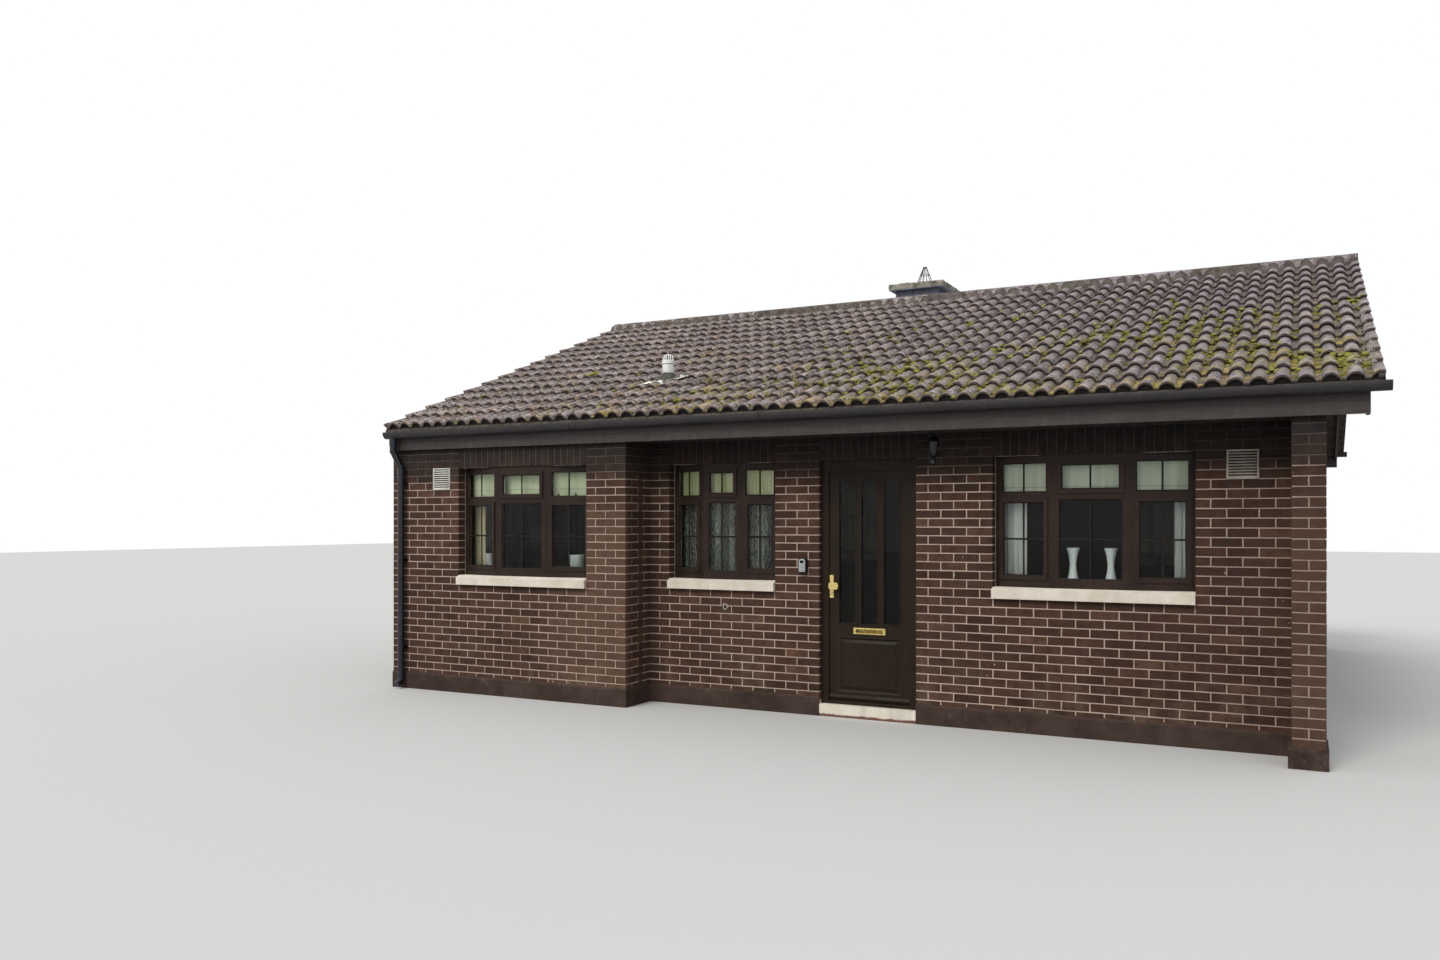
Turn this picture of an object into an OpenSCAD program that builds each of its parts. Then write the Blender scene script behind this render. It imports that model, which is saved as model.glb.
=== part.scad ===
// Bungalow: one brick house out of a stepped terrace, with a recessed front and a low pitched roof.
// X runs along the front to the right, Y into the house, Z up. Millimetres.

/* [Plan] */
// Brick course length with its joint; walls and openings step by halves of it
brick = 225; // [215:0.5:235]
// Height of a brick course with its joint
course = 75; // [73:0.25:77]
// How far the left part of the front stands forward of the door wall, in bricks
bay_bricks = 2; // [1:1:3]
// Thickness of the front and rear cavity walls
wall = 300; // [250:5:350]
// Thickness of the party walls and of the pier at the right
party = 215; // [200:5:240]
// Depth of the house from the bay to the rear face, in bricks
depth_bricks = 39; // [34:1:42]

/* [Openings] */
// Width of the two large windows, in bricks
large_window = 7; // [6:1:7]
// Width of the middle window, in bricks
small_window = 5; // [4:1:5]
// Height from the ground to the underside of the window sills
sill_under = 1115; // [1040:5:1190]
// Height from the ground to the heads of the windows and the door
head = 2315; // [2240:5:2390]
// Depth of a sill's front edge
sill_front = 75; // [60:1:90]
// How far the sills stand out from the brickwork
sill_out = 45; // [30:1:60]
// Distance from the brick face back to the door frame
set_back = 50; // [40:1:90]

/* [Window frames] */
// Distance from the brick face back to a window's two ends, half a brick
window_back = 102; // [96:1:106]
// How far a window's middle light stands forward of its ends, in a shallow bow of three flat frames
window_bow = 88; // [60:1:92]
// Depth of the window frames from front to back
frame_depth = 70; // [60:1:80]
// Width of the outer frame in view
frame_edge = 52; // [44:1:60]
// Width of the upright and cross members
member = 100; // [86:1:106]
// Width that an opening sash adds round its glass
sash_rim = 22; // [18:1:28]
// How far an opening sash stands forward of the frame
sash_out = 12; // [6:1:16]
// Side light of a large window, from the opening's edge to the upright's centre, as a share of the width
large_side = 0.31; // [0.29:0.001:0.33]
// The same for the middle window
small_side = 0.325; // [0.31:0.001:0.34]
// How far the cross member's centre lies under the heads
transom_drop = 338; // [325:1:375]
// Thickness of a sealed glass unit
glazing = 24; // [20:1:28]

/* [Door] */
// Width of a door jamb in view
jamb = 60; // [50:1:70]
// Height of the top of the painted step
step_top = 108; // [90:1:125]
// Height of the door's bottom edge
door_bottom = 150; // [148:1:160]
// How far the door's top edge lies under the heads
over_door = 95; // [90:1:115]
// Thickness of the door leaf
leaf = 50; // [44:1:56]
// Running gap between the leaf and its frame
door_gap = 5; // [5:0.5:6]
// Width of one tall glass light in the door
light = 148; // [130:1:156]
// Width of the bars between the lights
light_gap = 64; // [58:1:72]

/* [Roof] */
// Roof pitch in degrees
pitch = 20.9; // [18:0.1:24]
// Height of the tile pans at the eaves edge above the soffit
eaves_rise = 210; // [200:1:235]
// Vertical thickness of the tiled and raftered slope
slope_build = 160; // [150:5:200]
// Vertical thickness of the tiles alone where they overhang
tile_build = 30; // [26:1:38]
// How far the roof runs past the party wall at the right
verge_out = 360; // [300:5:400]
// Height of the eaves soffit above the heads
soffit_rise = 210; // [205:1:225]
// Outer radius of the ridge tiles
ridge_r = 125; // [115:1:135]

/* [Rainwater] */
// Outer radius of the gutter
gutter_r = 56; // [50:1:60]
// Straight upper part of the gutter's side
gutter_side = 14; // [8:1:20]
// Fall of the gutter from its right end to the outlet
gutter_fall = 26; // [10:1:30]
// Radius of the rainwater pipes
pipe_r = 34; // [30:1:38]

/* [Chimney and vents] */
// Length of the chimney cap along the front
cap_x = 715; // [680:5:740]
// Length of the chimney cap from front to back
cap_y = 790; // [720:5:820]
// Distance from the meeting line of the slopes back to the chimney cap
cap_back = 225; // [200:5:300]
// Height of the chimney cap's underside above the meeting line of the slopes
cap_above = 260; // [220:5:300]
// Thickness of the chimney cap
cap_t = 66; // [55:1:80]
// Height of the wire guard over the flue
guard_h = 254; // [230:4:270]
// Height at which the guard's wires bend inwards
guard_bend = 60; // [40:5:80]
// Side of the square louvred wall vents
louvre = 225; // [215:1:230]

/* [Hidden] */
$fn = 48;
e = 0.3;
half = brick / 2;
soffit = head + soffit_rise;
eaves_tile = soffit + eaves_rise;
transom = head - transom_drop;
door_top = head - over_door;
bay = bay_bricks * brick;
x_left = -13 * brick;
x_pier = 25 * brick;
x_right = x_pier + party;
y_front = -bay;
y_rear = y_front + depth_bricks * brick - 10;
ridge_y = (y_front + y_rear) / 2;
verge_x = x_right + verge_out;
mid_x = (x_left + verge_x + 38) / 2;
mid_y = ridge_y;
slope = tan(pitch);
fascia_t = 25;
y_fascia = y_front - 50;
tile_y = y_fascia - 65;
barge_x = verge_x - 88;
wl_0 = -2 * brick - large_window * brick - 5;
wl_1 = -2 * brick + 5;
wm_0 = brick - 5;
wm_1 = brick + small_window * brick + 5;
door_0 = 8 * brick - 5;
door_1 = 12 * brick + 5;
wr_0 = 15 * brick - 5;
wr_1 = 15 * brick + large_window * brick + 5;
frame_z = sill_under + sill_front + 22;
floor_top = door_bottom - 15;
threshold_top = door_bottom - 7;
leaf_0 = door_0 + jamb + door_gap + 3;
leaf_1 = door_1 - jamb - door_gap;
leaf_y = set_back + 12 + door_gap;
pin_y = max(leaf_y + leaf, set_back + 70) + 6.5;
pin_x = leaf_1 + 3;
plinth_out = 15;
chim_x = 1380;
chim_y = ridge_y + cap_back + cap_y / 2;

function top_z(y) = eaves_tile + (min(y, 2 * ridge_y - y) - tile_y) * slope;
function under_z(y) = top_z(y) - slope_build;
cap_under = top_z(ridge_y) + cap_above;
gutter_lip = top_z(y_fascia) - tile_build - 2;

module placed() { translate([-mid_x, -mid_y, 0]) children(); }
module box(x0, x1, y0, y1, z0, z1) { translate([x0, y0, z0]) cube([x1 - x0, y1 - y0, z1 - z0]); }
// A profile drawn in Y and Z, drawn out along X
module along_x(x0, x1) {
    translate([x0, 0, 0]) rotate([90, 0, 90]) linear_extrude(x1 - x0) children();
}
module rearward() { translate([0, 2 * ridge_y, 0]) mirror([0, 1, 0]) children(); }
// A wall whose top follows the underside of the roof
module wall_up_to_roof(x0, x1, y0, y1, z0 = 0) {
    along_x(x0, x1) polygon(concat([[y0, z0], [y1, z0], [y1, under_z(y1) - e]],
        (y0 < ridge_y && y1 > ridge_y) ? [[ridge_y, under_z(ridge_y) - e]] : [],
        [[y0, under_z(y0) - e]]));
}
module rod(p, q, r) {
    d = q - p;
    len = norm(d);
    translate(p) rotate([0, acos(d[2] / len), atan2(d[1], d[0])]) cylinder(h = len, r = r);
}

module floor_slab() color("gray") placed() {
    difference() {
        box(x_left + party, x_pier, y_front + wall, y_rear - wall, 0, floor_top);
        box(-wall, x_pier + 1, y_front, wall, -1, floor_top + 1);
    }
}

// Rendered skirt with a sloping top edge; the profile is drawn outward from the wall face
module skirt(length) {
    rotate([90, 0, 90]) linear_extrude(length)
        polygon([[0, 0], [-plinth_out, 0], [-plinth_out, 155], [0, 178]]);
}
module plinth() color("dimgray") placed() {
    translate([x_left, y_front, 0]) skirt(-x_left + plinth_out);
    translate([0, y_front + e, 0]) rotate([0, 0, 90]) skirt(bay - plinth_out - 2 * e);
    translate([0, 0, 0]) skirt(door_0);
    translate([door_1, 0, 0]) skirt(x_pier - door_1);
    rearward() translate([x_left, y_front, 0]) skirt(x_right - x_left);
}
module pier_base() color("gray") placed() {
    difference() {
        box(x_pier - 25, x_right + 20, y_front - 25, -20, 0, 150);
        box(x_pier, x_right, y_front, 0, -1, 151);
    }
}

module bay_wall() color("saddlebrown") placed() difference() {
    wall_up_to_roof(x_left, 0, y_front, y_front + wall);
    box(wl_0, wl_1, y_front - 1, y_front + wall + 1, sill_under, head);
}
module return_wall() color("saddlebrown") placed() {
    wall_up_to_roof(-wall, 0, y_front + wall, wall);
}
module front_wall_middle() color("saddlebrown") placed() difference() {
    wall_up_to_roof(0, door_0, 0, wall);
    box(wm_0, wm_1, -1, wall + 1, sill_under, head);
}
module wall_over_door() color("saddlebrown") placed() wall_up_to_roof(door_0, door_1, 0, wall, head);
module front_wall_right() color("saddlebrown") placed() difference() {
    wall_up_to_roof(door_1, x_pier, 0, wall);
    box(wr_0, wr_1, -1, wall + 1, sill_under, head);
}
module right_pier() color("saddlebrown") placed() wall_up_to_roof(x_pier, x_right, y_front, 0);
module party_wall_left() color("darkgray") placed() {
    wall_up_to_roof(x_left, x_left + party, y_front + wall, y_rear - wall);
}
module party_wall_right() color("darkgray") placed() {
    wall_up_to_roof(x_pier, x_right, 0, y_rear - wall);
}
module rear_wall() color("saddlebrown") placed() difference() {
    wall_up_to_roof(x_left, x_right, y_rear - wall, y_rear);
    for (w = [[wl_0, wl_1], [wr_0, wr_1]])
        box(w[0], w[1], y_rear - wall - 1, y_rear + 1, sill_under, head);
}
module ceiling() color("white") placed() {
    difference() {
        box(x_left + party, x_pier, y_front + wall, y_rear - wall, soffit + 5, soffit + 35);
        box(-wall, x_pier + 1, y_front, wall, soffit, soffit + 40);
    }
}

// One slope: rafters and tiles, the tiles alone at the eaves and over the bargeboard
module slope_solid() {
    y_back = y_fascia + fascia_t;
    along_x(x_left, barge_x - fascia_t) polygon([
        [tile_y, top_z(tile_y) - tile_build], [y_back, top_z(y_back) - tile_build],
        [y_back, under_z(y_back)], [ridge_y, under_z(ridge_y)], [ridge_y, top_z(ridge_y)],
        [tile_y, top_z(tile_y)]]);
    along_x(barge_x - fascia_t - 1, verge_x) polygon([
        [tile_y, top_z(tile_y) - tile_build], [ridge_y, top_z(ridge_y) - tile_build],
        [ridge_y, top_z(ridge_y)], [tile_y, top_z(tile_y)]]);
}
module roof_front() color("sienna") placed() slope_solid();
module roof_rear() color("sienna") placed() rearward() slope_solid();
module ridge_tiles() color("sienna") placed() difference() {
    translate([x_left, ridge_y, top_z(ridge_y) - 30]) rotate([0, 90, 0])
        cylinder(h = verge_x - x_left, r = ridge_r);
    along_x(x_left - 1, verge_x + 1) polygon([
        [ridge_y - 400, top_z(ridge_y - 400) + e], [ridge_y, top_z(ridge_y) + e],
        [ridge_y + 400, top_z(ridge_y + 400) + e], [ridge_y + 400, soffit], [ridge_y - 400, soffit]]);
}

module fascia_front() color("#3b2f2d") placed() {
    box(x_left, barge_x, y_fascia, y_fascia + fascia_t, soffit - 12, top_z(y_fascia) - tile_build - e);
}
module soffit_strip(x0, x1, y1) { box(x0, x1, y_fascia + fascia_t, y1, soffit, soffit + 12); }
module soffit_front() color("#2c2423") placed() {
    soffit_strip(x_left, 0, y_front);
    soffit_strip(0, x_pier, 0);
    soffit_strip(x_pier, x_right, y_front);
    soffit_strip(x_right, barge_x - fascia_t, y_front + 100);
    along_x(x_right, barge_x - fascia_t) polygon([
        [y_front + 88, soffit], [y_front + 100, soffit],
        [y_front + 100, under_z(y_front + 100) - e], [y_front + 88, under_z(y_front + 88) - e]]);
}
module rear_eaves_boards() color("#3b2f2d") placed() rearward() {
    box(x_left, barge_x, y_fascia, y_fascia + fascia_t, soffit - 12, top_z(y_fascia) - tile_build - e);
    soffit_strip(x_left, x_right, y_front);
    soffit_strip(x_right, barge_x - fascia_t, y_front + 100);
    along_x(x_right, barge_x - fascia_t) polygon([
        [y_front + 88, soffit], [y_front + 100, soffit],
        [y_front + 100, under_z(y_front + 100) - e], [y_front + 88, under_z(y_front + 88) - e]]);
}
module bargeboard() color("#3b2f2d") placed() {
    y_b = y_fascia + fascia_t;
    t = tile_build + e;
    d = tile_build + 185;
    along_x(barge_x - fascia_t, barge_x) polygon([
        [y_b, soffit - 12], [y_front + 100, soffit - 12], [y_front + 100, top_z(y_front + 100) - d],
        [ridge_y, top_z(ridge_y) - d],
        [2 * ridge_y - y_front - 100, top_z(y_front + 100) - d],
        [2 * ridge_y - y_front - 100, soffit - 12], [2 * ridge_y - y_b, soffit - 12],
        [2 * ridge_y - y_b, top_z(y_b) - t], [ridge_y, top_z(ridge_y) - t], [y_b, top_z(y_b) - t]]);
}

// Deep half-round gutter profile, open at the top, in Y and Z from its back edge at the lip
module gutter_profile(grow = 0, inner = 0) {
    r = gutter_r + grow - inner;
    translate([-gutter_r, -gutter_side]) {
        intersection() {
            circle(r);
            translate([-100, -100]) square([200, 100]);
        }
        translate([-r, 0]) square([2 * r, gutter_side + (inner > 0 ? 1 : 0)]);
    }
}
// The whole trough, or with a clearance its filled outline
module gutter_run(x0, x1, fall, filled = 0) {
    length = x1 - x0;
    translate([x1, y_fascia, gutter_lip]) rotate([0, -atan(fall / length), 0]) {
        difference() {
            union() {
                along_x(-length - filled, 0) gutter_profile(grow = filled);
                for (k = [0.08, 0.3, 0.52, 0.74])
                    along_x(-length * k - 35, -length * k) intersection() {
                        gutter_profile(grow = 4);
                        translate([-200, -200]) square([200, 300]);
                    }
            }
            if (filled == 0) along_x(-length + 3, -3) gutter_profile(inner = 3);
        }
    }
}
out_x = x_left + 94;
out_y = y_fascia - gutter_r;
out_z = gutter_lip - gutter_fall - gutter_side - gutter_r;
wall_pipe_y = y_front - 55;
neck_z = soffit - 195;
module pipe_run(x_out, x_down) {
    difference() {
        union() {
            rod([x_out, out_y, out_z - 128], [x_out, out_y, out_z + 30], pipe_r);
            rod([x_out, out_y, out_z - 72], [x_out, out_y, out_z + 30], pipe_r + 5);
        }
        gutter_run(x_left, verge_x + 38, gutter_fall, e);
    }
    translate([x_out, out_y, out_z - 128]) sphere(pipe_r + 2);
    rod([x_out, out_y, out_z - 128], [x_down, wall_pipe_y, neck_z], pipe_r);
    translate([x_down, wall_pipe_y, neck_z]) sphere(pipe_r + 2);
    rod([x_down, wall_pipe_y, 90], [x_down, wall_pipe_y, neck_z], pipe_r);
    rod([x_down, wall_pipe_y, neck_z - 80], [x_down, wall_pipe_y, neck_z - 20], pipe_r + 4);
    translate([x_down, wall_pipe_y, 90]) sphere(pipe_r + 2);
    rod([x_down, wall_pipe_y, 90], [x_down, wall_pipe_y - 60, 40], pipe_r);
    for (z = [420, 1340, neck_z - 180]) {
        rod([x_down, wall_pipe_y, z], [x_down, wall_pipe_y, z + 30], pipe_r + 4);
        box(x_down - 50, x_down + 50, y_front - 24, y_front, z, z + 30);
    }
}
module gutter_front() color("#2a2325") placed() difference() {
    gutter_run(x_left, verge_x + 38, gutter_fall);
    translate([out_x, out_y, out_z - 130]) cylinder(h = 150, r = pipe_r - 3);
}
module downpipe_front() color("#16181b") placed() pipe_run(out_x, x_left + 157);
module gutter_rear() color("#2a2325") placed() rearward() difference() {
    gutter_run(x_left, verge_x + 38, gutter_fall);
    translate([out_x, out_y, out_z - 130]) cylinder(h = 150, r = pipe_r - 3);
}
module downpipe_rear() color("#16181b") placed() rearward() pipe_run(out_x, x_left + 157);

module chimney_stack() color("saddlebrown") placed() {
    y0 = chim_y - 1.5 * brick + 5;
    y1 = chim_y + 1.5 * brick - 5;
    along_x(chim_x - 1.25 * brick + 5, chim_x + 1.25 * brick - 5) polygon([
        [y0, top_z(y0) + e], [y1, top_z(y1) + e], [y1, cap_under], [y0, cap_under]]);
}
module chimney_cap() color("darkgray") placed() difference() {
    translate([chim_x - cap_x / 2, chim_y - cap_y / 2, cap_under]) {
        cube([cap_x, cap_y, cap_t - 18]);
        translate([cap_x / 2, cap_y / 2, cap_t - 18])
            linear_extrude(18, scale = [0.86, 0.88], slices = 1) square([cap_x, cap_y], center = true);
    }
    translate([chim_x, chim_y, cap_under + 20]) cylinder(h = cap_t, r = 85);
}
// Conical wire guard over the flue
module bird_guard() color("#5b4a44") placed() translate([chim_x, chim_y, cap_under + cap_t + e]) {
    difference() {
        cylinder(h = 8, r = 104);
        translate([0, 0, -1]) cylinder(h = 10, r = 88);
    }
    for (a = [0 : 30 : 330]) rotate([0, 0, a]) {
        rod([98, 0, 4], [96, 0, guard_bend], 3.2);
        translate([96, 0, guard_bend]) sphere(4.4);
        rod([96, 0, guard_bend], [20, 0, guard_h - 4], 3.2);
    }
    translate([0, 0, guard_h - 8]) cylinder(h = 8, r = 26);
    translate([0, 0, guard_bend + 0.47 * (guard_h - guard_bend)]) difference() {
        cylinder(h = 6, r = 64);
        translate([0, 0, -1]) cylinder(h = 8, r = 56.5);
    }
}

vent_x = -200;
vent_y = 700;
module roof_vent() color("gainsboro") placed() {
    z0 = top_z(vent_y);
    difference() {
        union() {
            translate([vent_x, vent_y, z0 - 40]) cylinder(h = 170, r = 58);
            translate([vent_x, vent_y, z0 + 117]) cylinder(h = 190, r = 74);
            translate([vent_x, vent_y, z0 + 307]) cylinder(h = 18, r1 = 74, r2 = 50);
            along_x(vent_x - 190, vent_x + 190) polygon([
                [vent_y - 170, top_z(vent_y - 170) + e], [vent_y + 170, top_z(vent_y + 170) + e],
                [vent_y + 170, top_z(vent_y + 170) + 8], [vent_y - 170, top_z(vent_y - 170) + 8]]);
        }
        along_x(vent_x - 300, vent_x + 300) polygon([
            [vent_y - 300, top_z(vent_y - 300) + e], [vent_y + 300, top_z(vent_y + 300) + e],
            [vent_y + 300, soffit], [vent_y - 300, soffit]]);
        for (k = [0 : 5]) translate([vent_x, vent_y, z0 + 132 + 26 * k]) difference() {
            cylinder(h = 13, r = 80);
            translate([0, 0, -1]) cylinder(h = 15, r = 60);
        }
    }
}

// Sill with a sloping top in front of the frame, in Y and Z from the brick face
module sill(x0, x1) {
    along_x(x0, x1) polygon([[-sill_out, sill_under], [wall, sill_under], [wall, frame_z - e],
        [window_back - window_bow - 4, frame_z - e], [-sill_out, sill_under + sill_front]]);
}
module window_sills() color("wheat") placed() {
    translate([0, y_front, 0]) sill(wl_0, wl_1);
    sill(wm_0, wm_1);
    sill(wr_0, wr_1);
    rearward() translate([0, y_front, 0]) {
        sill(wl_0, wl_1);
        sill(wr_0, wr_1);
    }
}

// A window in plan: three flat frames joined in a shallow bow, front corners first, then the back ones
function bow_angle(side) = atan(window_bow / side);
function bow_plan(w, side) = let (y0 = window_back, y1 = window_back - window_bow, d = frame_depth,
    a = bow_angle(side), t = d * tan(a / 2)) [[0, y0], [side, y1], [w - side, y1], [w, y0],
    [w, y0 + d / cos(a)], [w - side - t, y1 + d], [side + t, y1 + d], [0, y0 + d / cos(a)]];
// Puts what is drawn on a flat frame on the left (0), middle (1) or right (2) run of the bow
module on_bow(run, w, side) {
    x = [0, side, w - side][run];
    y = window_back - (run == 0 ? 0 : window_bow);
    translate([x, y, 0]) rotate([0, 0, (run - 1) * bow_angle(side)]) children();
}
// The six lights as [x0, x1, z0, z1, opens, run], along the run that each is in
function lights(w, side, h, tz) = let (m = member / 2, t = 30, l = norm([side, window_bow]), c = w - 2 * side) [
    [frame_edge, l - m, tz + t, h - 62, 0, 0],
    [m, c - m, tz + t, h - 62, 1, 1],
    [m, l - frame_edge, tz + t, h - 62, 0, 2],
    [frame_edge, l - m, 76, tz - t, 1, 0],
    [m, c - m, 76, tz - t, 0, 1],
    [m, l - frame_edge, 76, tz - t, 1, 2]];
module frame_local(w, side) {
    h = head - frame_z;
    tz = transom - frame_z;
    difference() {
        linear_extrude(h) polygon(bow_plan(w, side));
        for (l = lights(w, side, h, tz)) on_bow(l[5], w, side)
            translate([l[0], -20, l[2]]) cube([l[1] - l[0], frame_depth + 40, l[3] - l[2]]);
        // shadow line where two flat frames are coupled
        for (x = [side, w - side]) translate([x - 2, window_back - window_bow - 3, -1]) cube([4, 6, h + 2]);
    }
    for (l = lights(w, side, h, tz)) if (l[4] == 1) on_bow(l[5], w, side) difference() {
        translate([l[0] - 14, -sash_out, l[2] - 14])
            cube([l[1] - l[0] + 28, sash_out + 40, l[3] - l[2] + 28]);
        translate([l[0] + sash_rim, -sash_out - 1, l[2] + sash_rim])
            cube([l[1] - l[0] - 2 * sash_rim, sash_out + 80, l[3] - l[2] - 2 * sash_rim]);
    }
}
module glass_local(w, side) {
    h = head - frame_z;
    tz = transom - frame_z;
    for (l = lights(w, side, h, tz)) {
        s = l[4] == 1 ? sash_rim : 0;
        on_bow(l[5], w, side) translate([l[0] + s + e, 10, l[2] + s + e])
            cube([l[1] - l[0] - 2 * s - 2 * e, glazing, l[3] - l[2] - 2 * s - 2 * e]);
    }
}
module window_frame_left() color("#33282a") placed()
    translate([wl_0, y_front, frame_z]) frame_local(wl_1 - wl_0, large_side * (wl_1 - wl_0));
module window_glass_left() color("#8899aa", 0.4) placed()
    translate([wl_0, y_front, frame_z]) glass_local(wl_1 - wl_0, large_side * (wl_1 - wl_0));
module window_frame_middle() color("#33282a") placed()
    translate([wm_0, 0, frame_z]) frame_local(wm_1 - wm_0, small_side * (wm_1 - wm_0));
module window_glass_middle() color("#8899aa", 0.4) placed()
    translate([wm_0, 0, frame_z]) glass_local(wm_1 - wm_0, small_side * (wm_1 - wm_0));
module window_frame_right() color("#33282a") placed()
    translate([wr_0, 0, frame_z]) frame_local(wr_1 - wr_0, large_side * (wr_1 - wr_0));
module window_glass_right() color("#8899aa", 0.4) placed()
    translate([wr_0, 0, frame_z]) glass_local(wr_1 - wr_0, large_side * (wr_1 - wr_0));
module rear_window_frames() color("#33282a") placed() rearward() for (x = [wl_0, wr_0])
    translate([x, y_front, frame_z]) frame_local(wr_1 - wr_0, large_side * (wr_1 - wr_0));
module rear_window_glass() color("#8899aa", 0.4) placed() rearward() for (x = [wl_0, wr_0])
    translate([x, y_front, frame_z]) glass_local(wr_1 - wr_0, large_side * (wr_1 - wr_0));

module door_frame() color("#33282a") placed() {
    y1 = set_back + 70;
    lip = 12;
    box(door_0, door_0 + jamb, set_back, y1, step_top + e, head);
    box(door_1 - jamb, door_1, set_back, y1, step_top + e, head);
    box(door_0, door_1, set_back, y1, door_top + door_gap, head);
    box(door_0, door_1, set_back, y1, step_top + e, threshold_top);
    box(door_0, door_0 + jamb + lip, set_back, set_back + lip, step_top + e, head);
    box(door_1 - jamb - lip, door_1, set_back, set_back + lip, step_top + e, head);
    box(door_0, door_1, set_back, set_back + lip, door_top + door_gap - lip, head);
    for (z = hinges, k = [0, 68]) {
        translate([pin_x, pin_y, z + k]) cylinder(h = 32, r = 6);
        box(pin_x, door_1 - jamb + 22, y1 - 1, pin_y + 2, z + k, z + k + 32);
    }
}
// Foot of each of the three butt hinges; the leaf carries the middle knuckle
hinges = [360, 1180, door_top - 230];
module door_step() color("white") placed() box(door_0, door_1, -6, wall, 0, step_top);

// Glass lights of the door as [x0, x1]
g_w = 3 * light + 2 * light_gap;
g_0 = (leaf_0 + leaf_1 - g_w) / 2;
glass_z0 = 845;
plate_z = glass_z0 - 95;
glass_z1 = door_top - 94;
module front_door() color("#33282a") placed() {
    difference() {
        box(leaf_0, leaf_1, leaf_y, leaf_y + leaf, door_bottom, door_top);
        for (k = [0 : 2]) box(g_0 + k * (light + light_gap), g_0 + k * (light + light_gap) + light,
            leaf_y - 1, leaf_y + leaf + 1, glass_z0, glass_z1);
        difference() {
            box(g_0 - 6, g_0 + g_w + 6, leaf_y - 1, leaf_y + 9, 225, glass_z0 - 130);
            translate([g_0 + g_w / 2, leaf_y + 10, (glass_z0 + 95) / 2]) rotate([90, 0, 0])
                linear_extrude(10, scale = [0.9, 0.88], slices = 1) square([g_w - 40, glass_z0 - 395], center = true);
        }
    }
    for (z = hinges) {
        translate([pin_x, pin_y, z + 32 + e]) cylinder(h = 36 - 2 * e, r = 6);
        box(leaf_1 - 28, leaf_1, leaf_y + leaf - 1, leaf_y + leaf + 3, z + 34, z + 66);
        box(pin_x - 5.5, pin_x, leaf_y + leaf - 1, pin_y, z + 34, z + 66);
    }
    // beads round the lights
    for (k = [0 : 2]) {
        x = g_0 + k * (light + light_gap);
        difference() {
            box(x - 14, x + light + 14, leaf_y - 5, leaf_y + 1, glass_z0 - 14, glass_z1 + 14);
            box(x, x + light, leaf_y - 6, leaf_y + 2, glass_z0, glass_z1);
        }
    }
}
module door_glass() color("#8899aa", 0.4) placed() for (k = [0 : 2]) {
    x = g_0 + k * (light + light_gap);
    box(x + e, x + light - e, leaf_y + 12, leaf_y + 36, glass_z0 + e, glass_z1 - e);
}
module letterbox() color("goldenrod") placed() {
    xm = (leaf_0 + leaf_1) / 2;
    box(xm - 150, xm + 150, leaf_y - 4 - e, leaf_y - e, plate_z, plate_z + 56);
    box(xm - 128, xm + 128, leaf_y - 9, leaf_y - 4 - e, plate_z + 9, plate_z + 47);
}
module door_handle() color("goldenrod") placed() {
    xh = leaf_0 + 30;
    box(xh - 18, xh + 18, leaf_y - 8 - e, leaf_y - e, 1070, 1276);
    rod([xh, leaf_y - 7, 1178], [xh, leaf_y - 43, 1178], 12);
    // flat pad of the handle, its corners cut in two steps
    translate([xh - 14, leaf_y - 42, 1147]) rotate([90, 0, 0]) linear_extrude(10) polygon([[16, 0], [74, 0],
        [85, 5], [90, 16], [90, 46], [85, 57], [74, 62], [16, 62], [5, 57], [0, 46], [0, 16], [5, 5]]);
}

// Louvred vent seen from the front, its back on the brick face
module louvre_local() {
    n = 8;
    rim = 12;
    step = (louvre - 2 * rim) / n;
    difference() {
        translate([0, -14, 0]) cube([louvre, 14 - e, louvre]);
        translate([rim, -15, rim]) cube([louvre - 2 * rim, 12, louvre - 2 * rim]);
    }
    for (k = [0 : n - 1]) translate([rim - 1, 0, rim + k * step])
        rotate([90, 0, 90]) linear_extrude(louvre - 2 * rim + 2)
            polygon([[-3, 2], [-3, step - 3], [-13, 5], [-13, 2]]);
}
module louvre_vent_left() color("white") placed()
    translate([-21 * half - 2, y_front, head - louvre]) louvre_local();
module louvre_vent_right() color("tan") placed()
    translate([door_1 + 22 * half - 5, 0, head - louvre]) louvre_local();

// Half lantern: back plate, tapered body with a roof and a finial
module wall_lantern() color("#15161a") placed() translate([door_1 + 157, 0, soffit - 300]) {
    box(-45, 45, -6, -e, 10, 270);
    translate([0, -6 + e, 30]) intersection() {
        union() {
            translate([0, 0, 20]) cylinder(h = 150, r1 = 44, r2 = 66, $fn = 24);
            translate([0, 0, 170]) cylinder(h = 60, r1 = 78, r2 = 14, $fn = 24);
            translate([0, 0, 228]) cylinder(h = 26, r = 9);
            cylinder(h = 21, r1 = 20, r2 = 48, $fn = 24);
        }
        translate([-100, -200, -10]) cube([200, 200, 400]);
    }
}
module key_safe() color("silver") placed() translate([door_0 - 150, 0, 1297]) {
    box(-36, 36, -48, -e, 0, 128);
    box(-27, 27, -54, -47, 14, 112);
}

floor_slab();
plinth();
pier_base();
bay_wall();
return_wall();
front_wall_middle();
wall_over_door();
front_wall_right();
right_pier();
party_wall_left();
party_wall_right();
rear_wall();
ceiling();
roof_front();
roof_rear();
ridge_tiles();
fascia_front();
soffit_front();
rear_eaves_boards();
bargeboard();
gutter_front();
downpipe_front();
gutter_rear();
downpipe_rear();
chimney_stack();
chimney_cap();
bird_guard();
roof_vent();
window_sills();
window_frame_left();
window_glass_left();
window_frame_middle();
window_glass_middle();
window_frame_right();
window_glass_right();
rear_window_frames();
rear_window_glass();
door_frame();
door_step();
front_door();
door_glass();
letterbox();
door_handle();
louvre_vent_left();
louvre_vent_right();
wall_lantern();
key_safe();
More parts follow.
